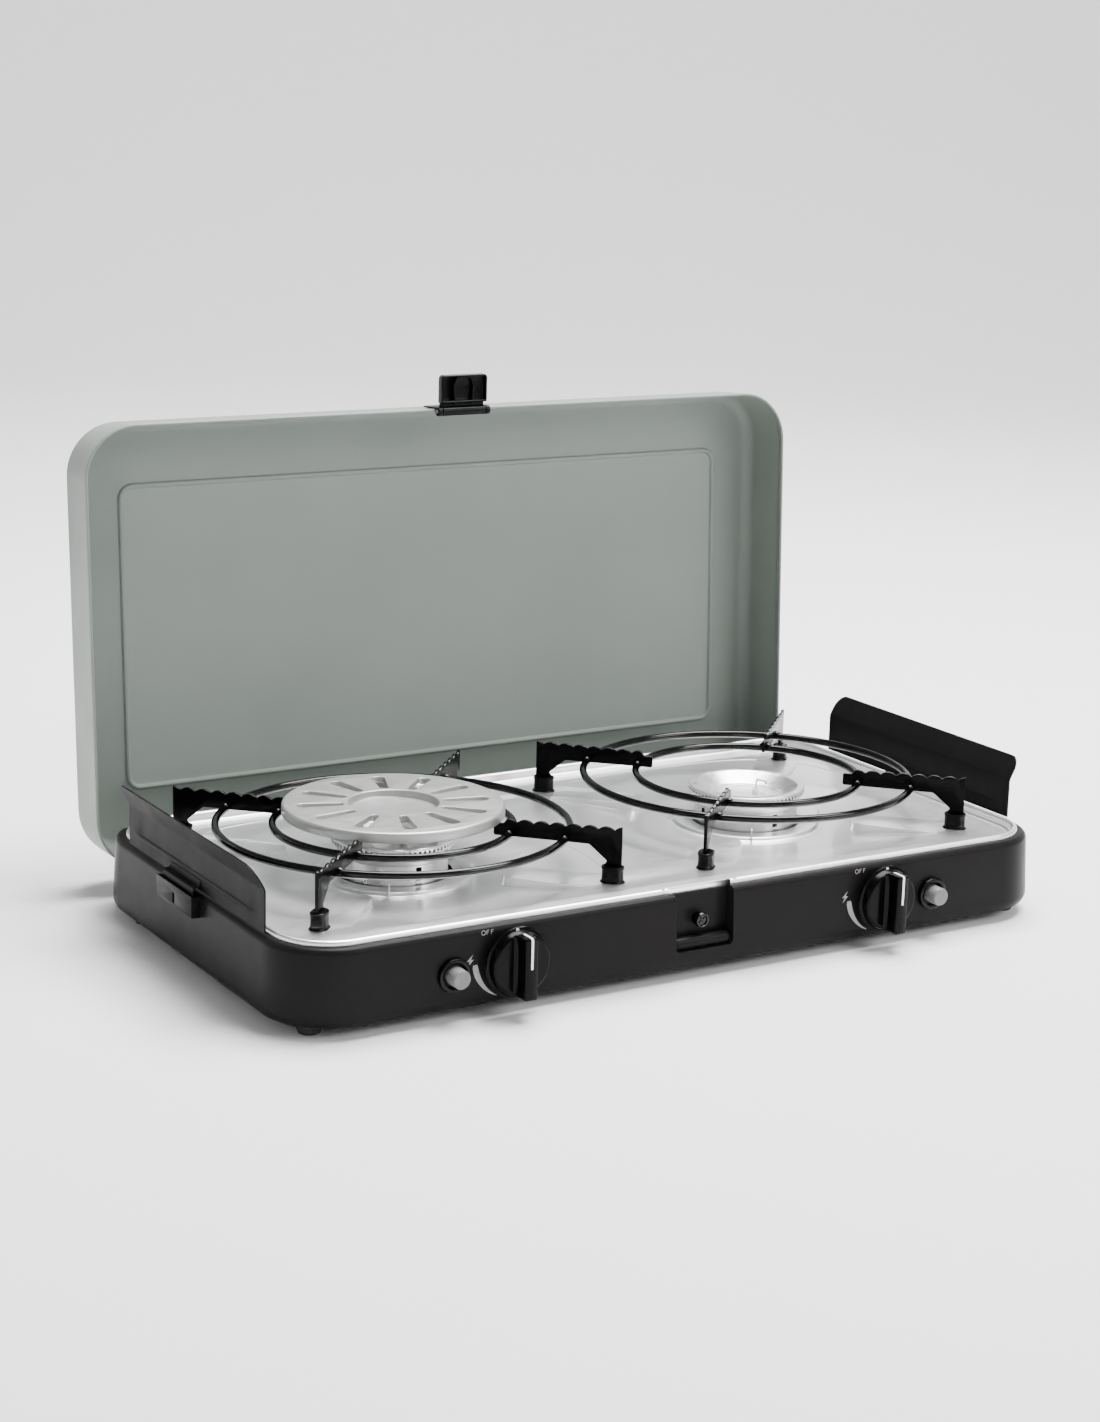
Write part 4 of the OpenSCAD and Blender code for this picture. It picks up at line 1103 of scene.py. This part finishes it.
for side, word in SIDES:
    put(make_knob(side), word + "_knob_body", word + "_control", "knob_black", [word + "_knob"])
    put(make_pointer(side), word + "_pointer", word + "_control", "pointer_white", [word + "_knob_pointer"])
    put(make_bezel(side), word + "_bezel", "base", "black_plastic", [word + "_igniter_bezel"])
    put(make_button(side), word + "_button", word + "_igniter", "button_grey", [word + "_igniter_button"],
        extra=(M["knob_black"],))
prints = put(make_prints(), "panel_prints", "base", "pointer_white")
prints.data.materials[0] = PRINT


def make_stud():
    """The catch stud in the recess, with a cross in its cupped head."""
    s = Shape()
    at = on_front(0, 34.5)
    prof = [(0, -12.6), (2, -12.6), (2, -10), (4, -10), (4, -6.5), (4.7, -6.3), (4.8, -5.6), (4.7, -4.2),
            (4.2, -3.5), (3.4, -3.4), (3.1, -3.8), (2.9, -4.4), (0, -4.5)]
    s.add(lathe(prof, 48), at)
    for a in (35, 125):
        s.add(block(-2.5, 2.5, -0.42, 0.42, -4.6, -3.9, 0.15), about_z(a), at)
    return s


put(make_stud(), "stud", "base", "support_enamel", ["catch_stud"])


# ------------------------------------------------ floor, light and camera (metres)
def make_cove():
    """A round studio floor that sweeps up into its wall."""
    floor_r, sweep_r, wall_top, seg = 2.8, 1.6, 2.9, 96
    prof = [(0.001, 0), (1.5, 0), (floor_r, 0)]
    prof += arc(floor_r, sweep_r, sweep_r, -90, 0, 15)[1:] + [(floor_r + sweep_r, wall_top)]
    a = np.linspace(0, 2 * math.pi, seg, endpoint=False)
    v, f = loft([np.c_[r * np.cos(a), r * np.sin(a), np.full(seg, z)] for r, z in prof], caps=False)
    mesh = bpy.data.meshes.new("floor")
    mesh.from_pydata(v.tolist(), [], f)
    o = bpy.data.objects.new("floor", mesh)
    bpy.context.scene.collection.objects.link(o)
    finish_mesh(o, 60)
    o.data.materials.append(surface("pale_floor", (0.92, 0.92, 0.92), 0.7, spread=0.004, specular=0.1))
    return o


def make_world(strength):
    world = bpy.data.worlds.new("studio")
    world.use_nodes = True
    back = world.node_tree.nodes["Background"]
    back.inputs["Color"].default_value = (1, 1, 1, 1)
    back.inputs["Strength"].default_value = strength
    bpy.context.scene.world = world


def area(name, loc, target, size, power):
    """A soft light at loc that faces target."""
    light = bpy.data.lights.new(name, "AREA")
    light.shape = "RECTANGLE"
    light.size, light.size_y = size
    light.energy = power
    o = bpy.data.objects.new(name, light)
    o.location = loc
    o.rotation_euler = (Vector(target) - Vector(loc)).to_track_quat("-Z", "Y").to_euler()
    bpy.context.scene.collection.objects.link(o)


def make_camera(place, yaw, pitch, roll, lens, shift):
    """A camera at place, turned left by yaw, down by pitch and about its view by roll, in degrees."""
    data = bpy.data.cameras.new("camera")
    data.sensor_fit = "HORIZONTAL"
    data.sensor_width = 36
    data.lens = lens
    data.shift_x, data.shift_y = shift
    data.clip_start = 0.05
    yaw, pitch, roll = (math.radians(q) for q in (yaw, pitch, roll))
    look = Vector((-math.sin(yaw) * math.cos(pitch), math.cos(yaw) * math.cos(pitch), -math.sin(pitch)))
    right = Vector((math.cos(yaw), math.sin(yaw), 0))
    up = right.cross(look)
    rolled_right = right * math.cos(roll) + up * math.sin(roll)
    rolled_up = up * math.cos(roll) - right * math.sin(roll)
    turn = Matrix((rolled_right, rolled_up, -look)).transposed().to_4x4()
    camera = bpy.data.objects.new("camera", data)
    camera.matrix_world = Matrix.Translation(place) @ turn
    bpy.context.scene.collection.objects.link(camera)
    bpy.context.scene.camera = camera


make_cove()
make_world(0.2)
area("top", (0.55, 0.25, 2.1), (0.1, 0.1, 0), (1.7, 1.4), 190)
area("key", (1.3, -1.9, 1.5), (0, 0, 0.1), (1.2, 1.0), 34)
area("sweep", (1.0, 1.6, 2.6), (2.2, 3.4, 1.0), (1.6, 0.6), 55)
make_camera((-0.8680, -1.24862 - ORIGIN_Y / 1000, 0.53345), yaw=-31.406, pitch=13.731, roll=1.522,
            lens=87.563, shift=(-0.0095, -0.0015))
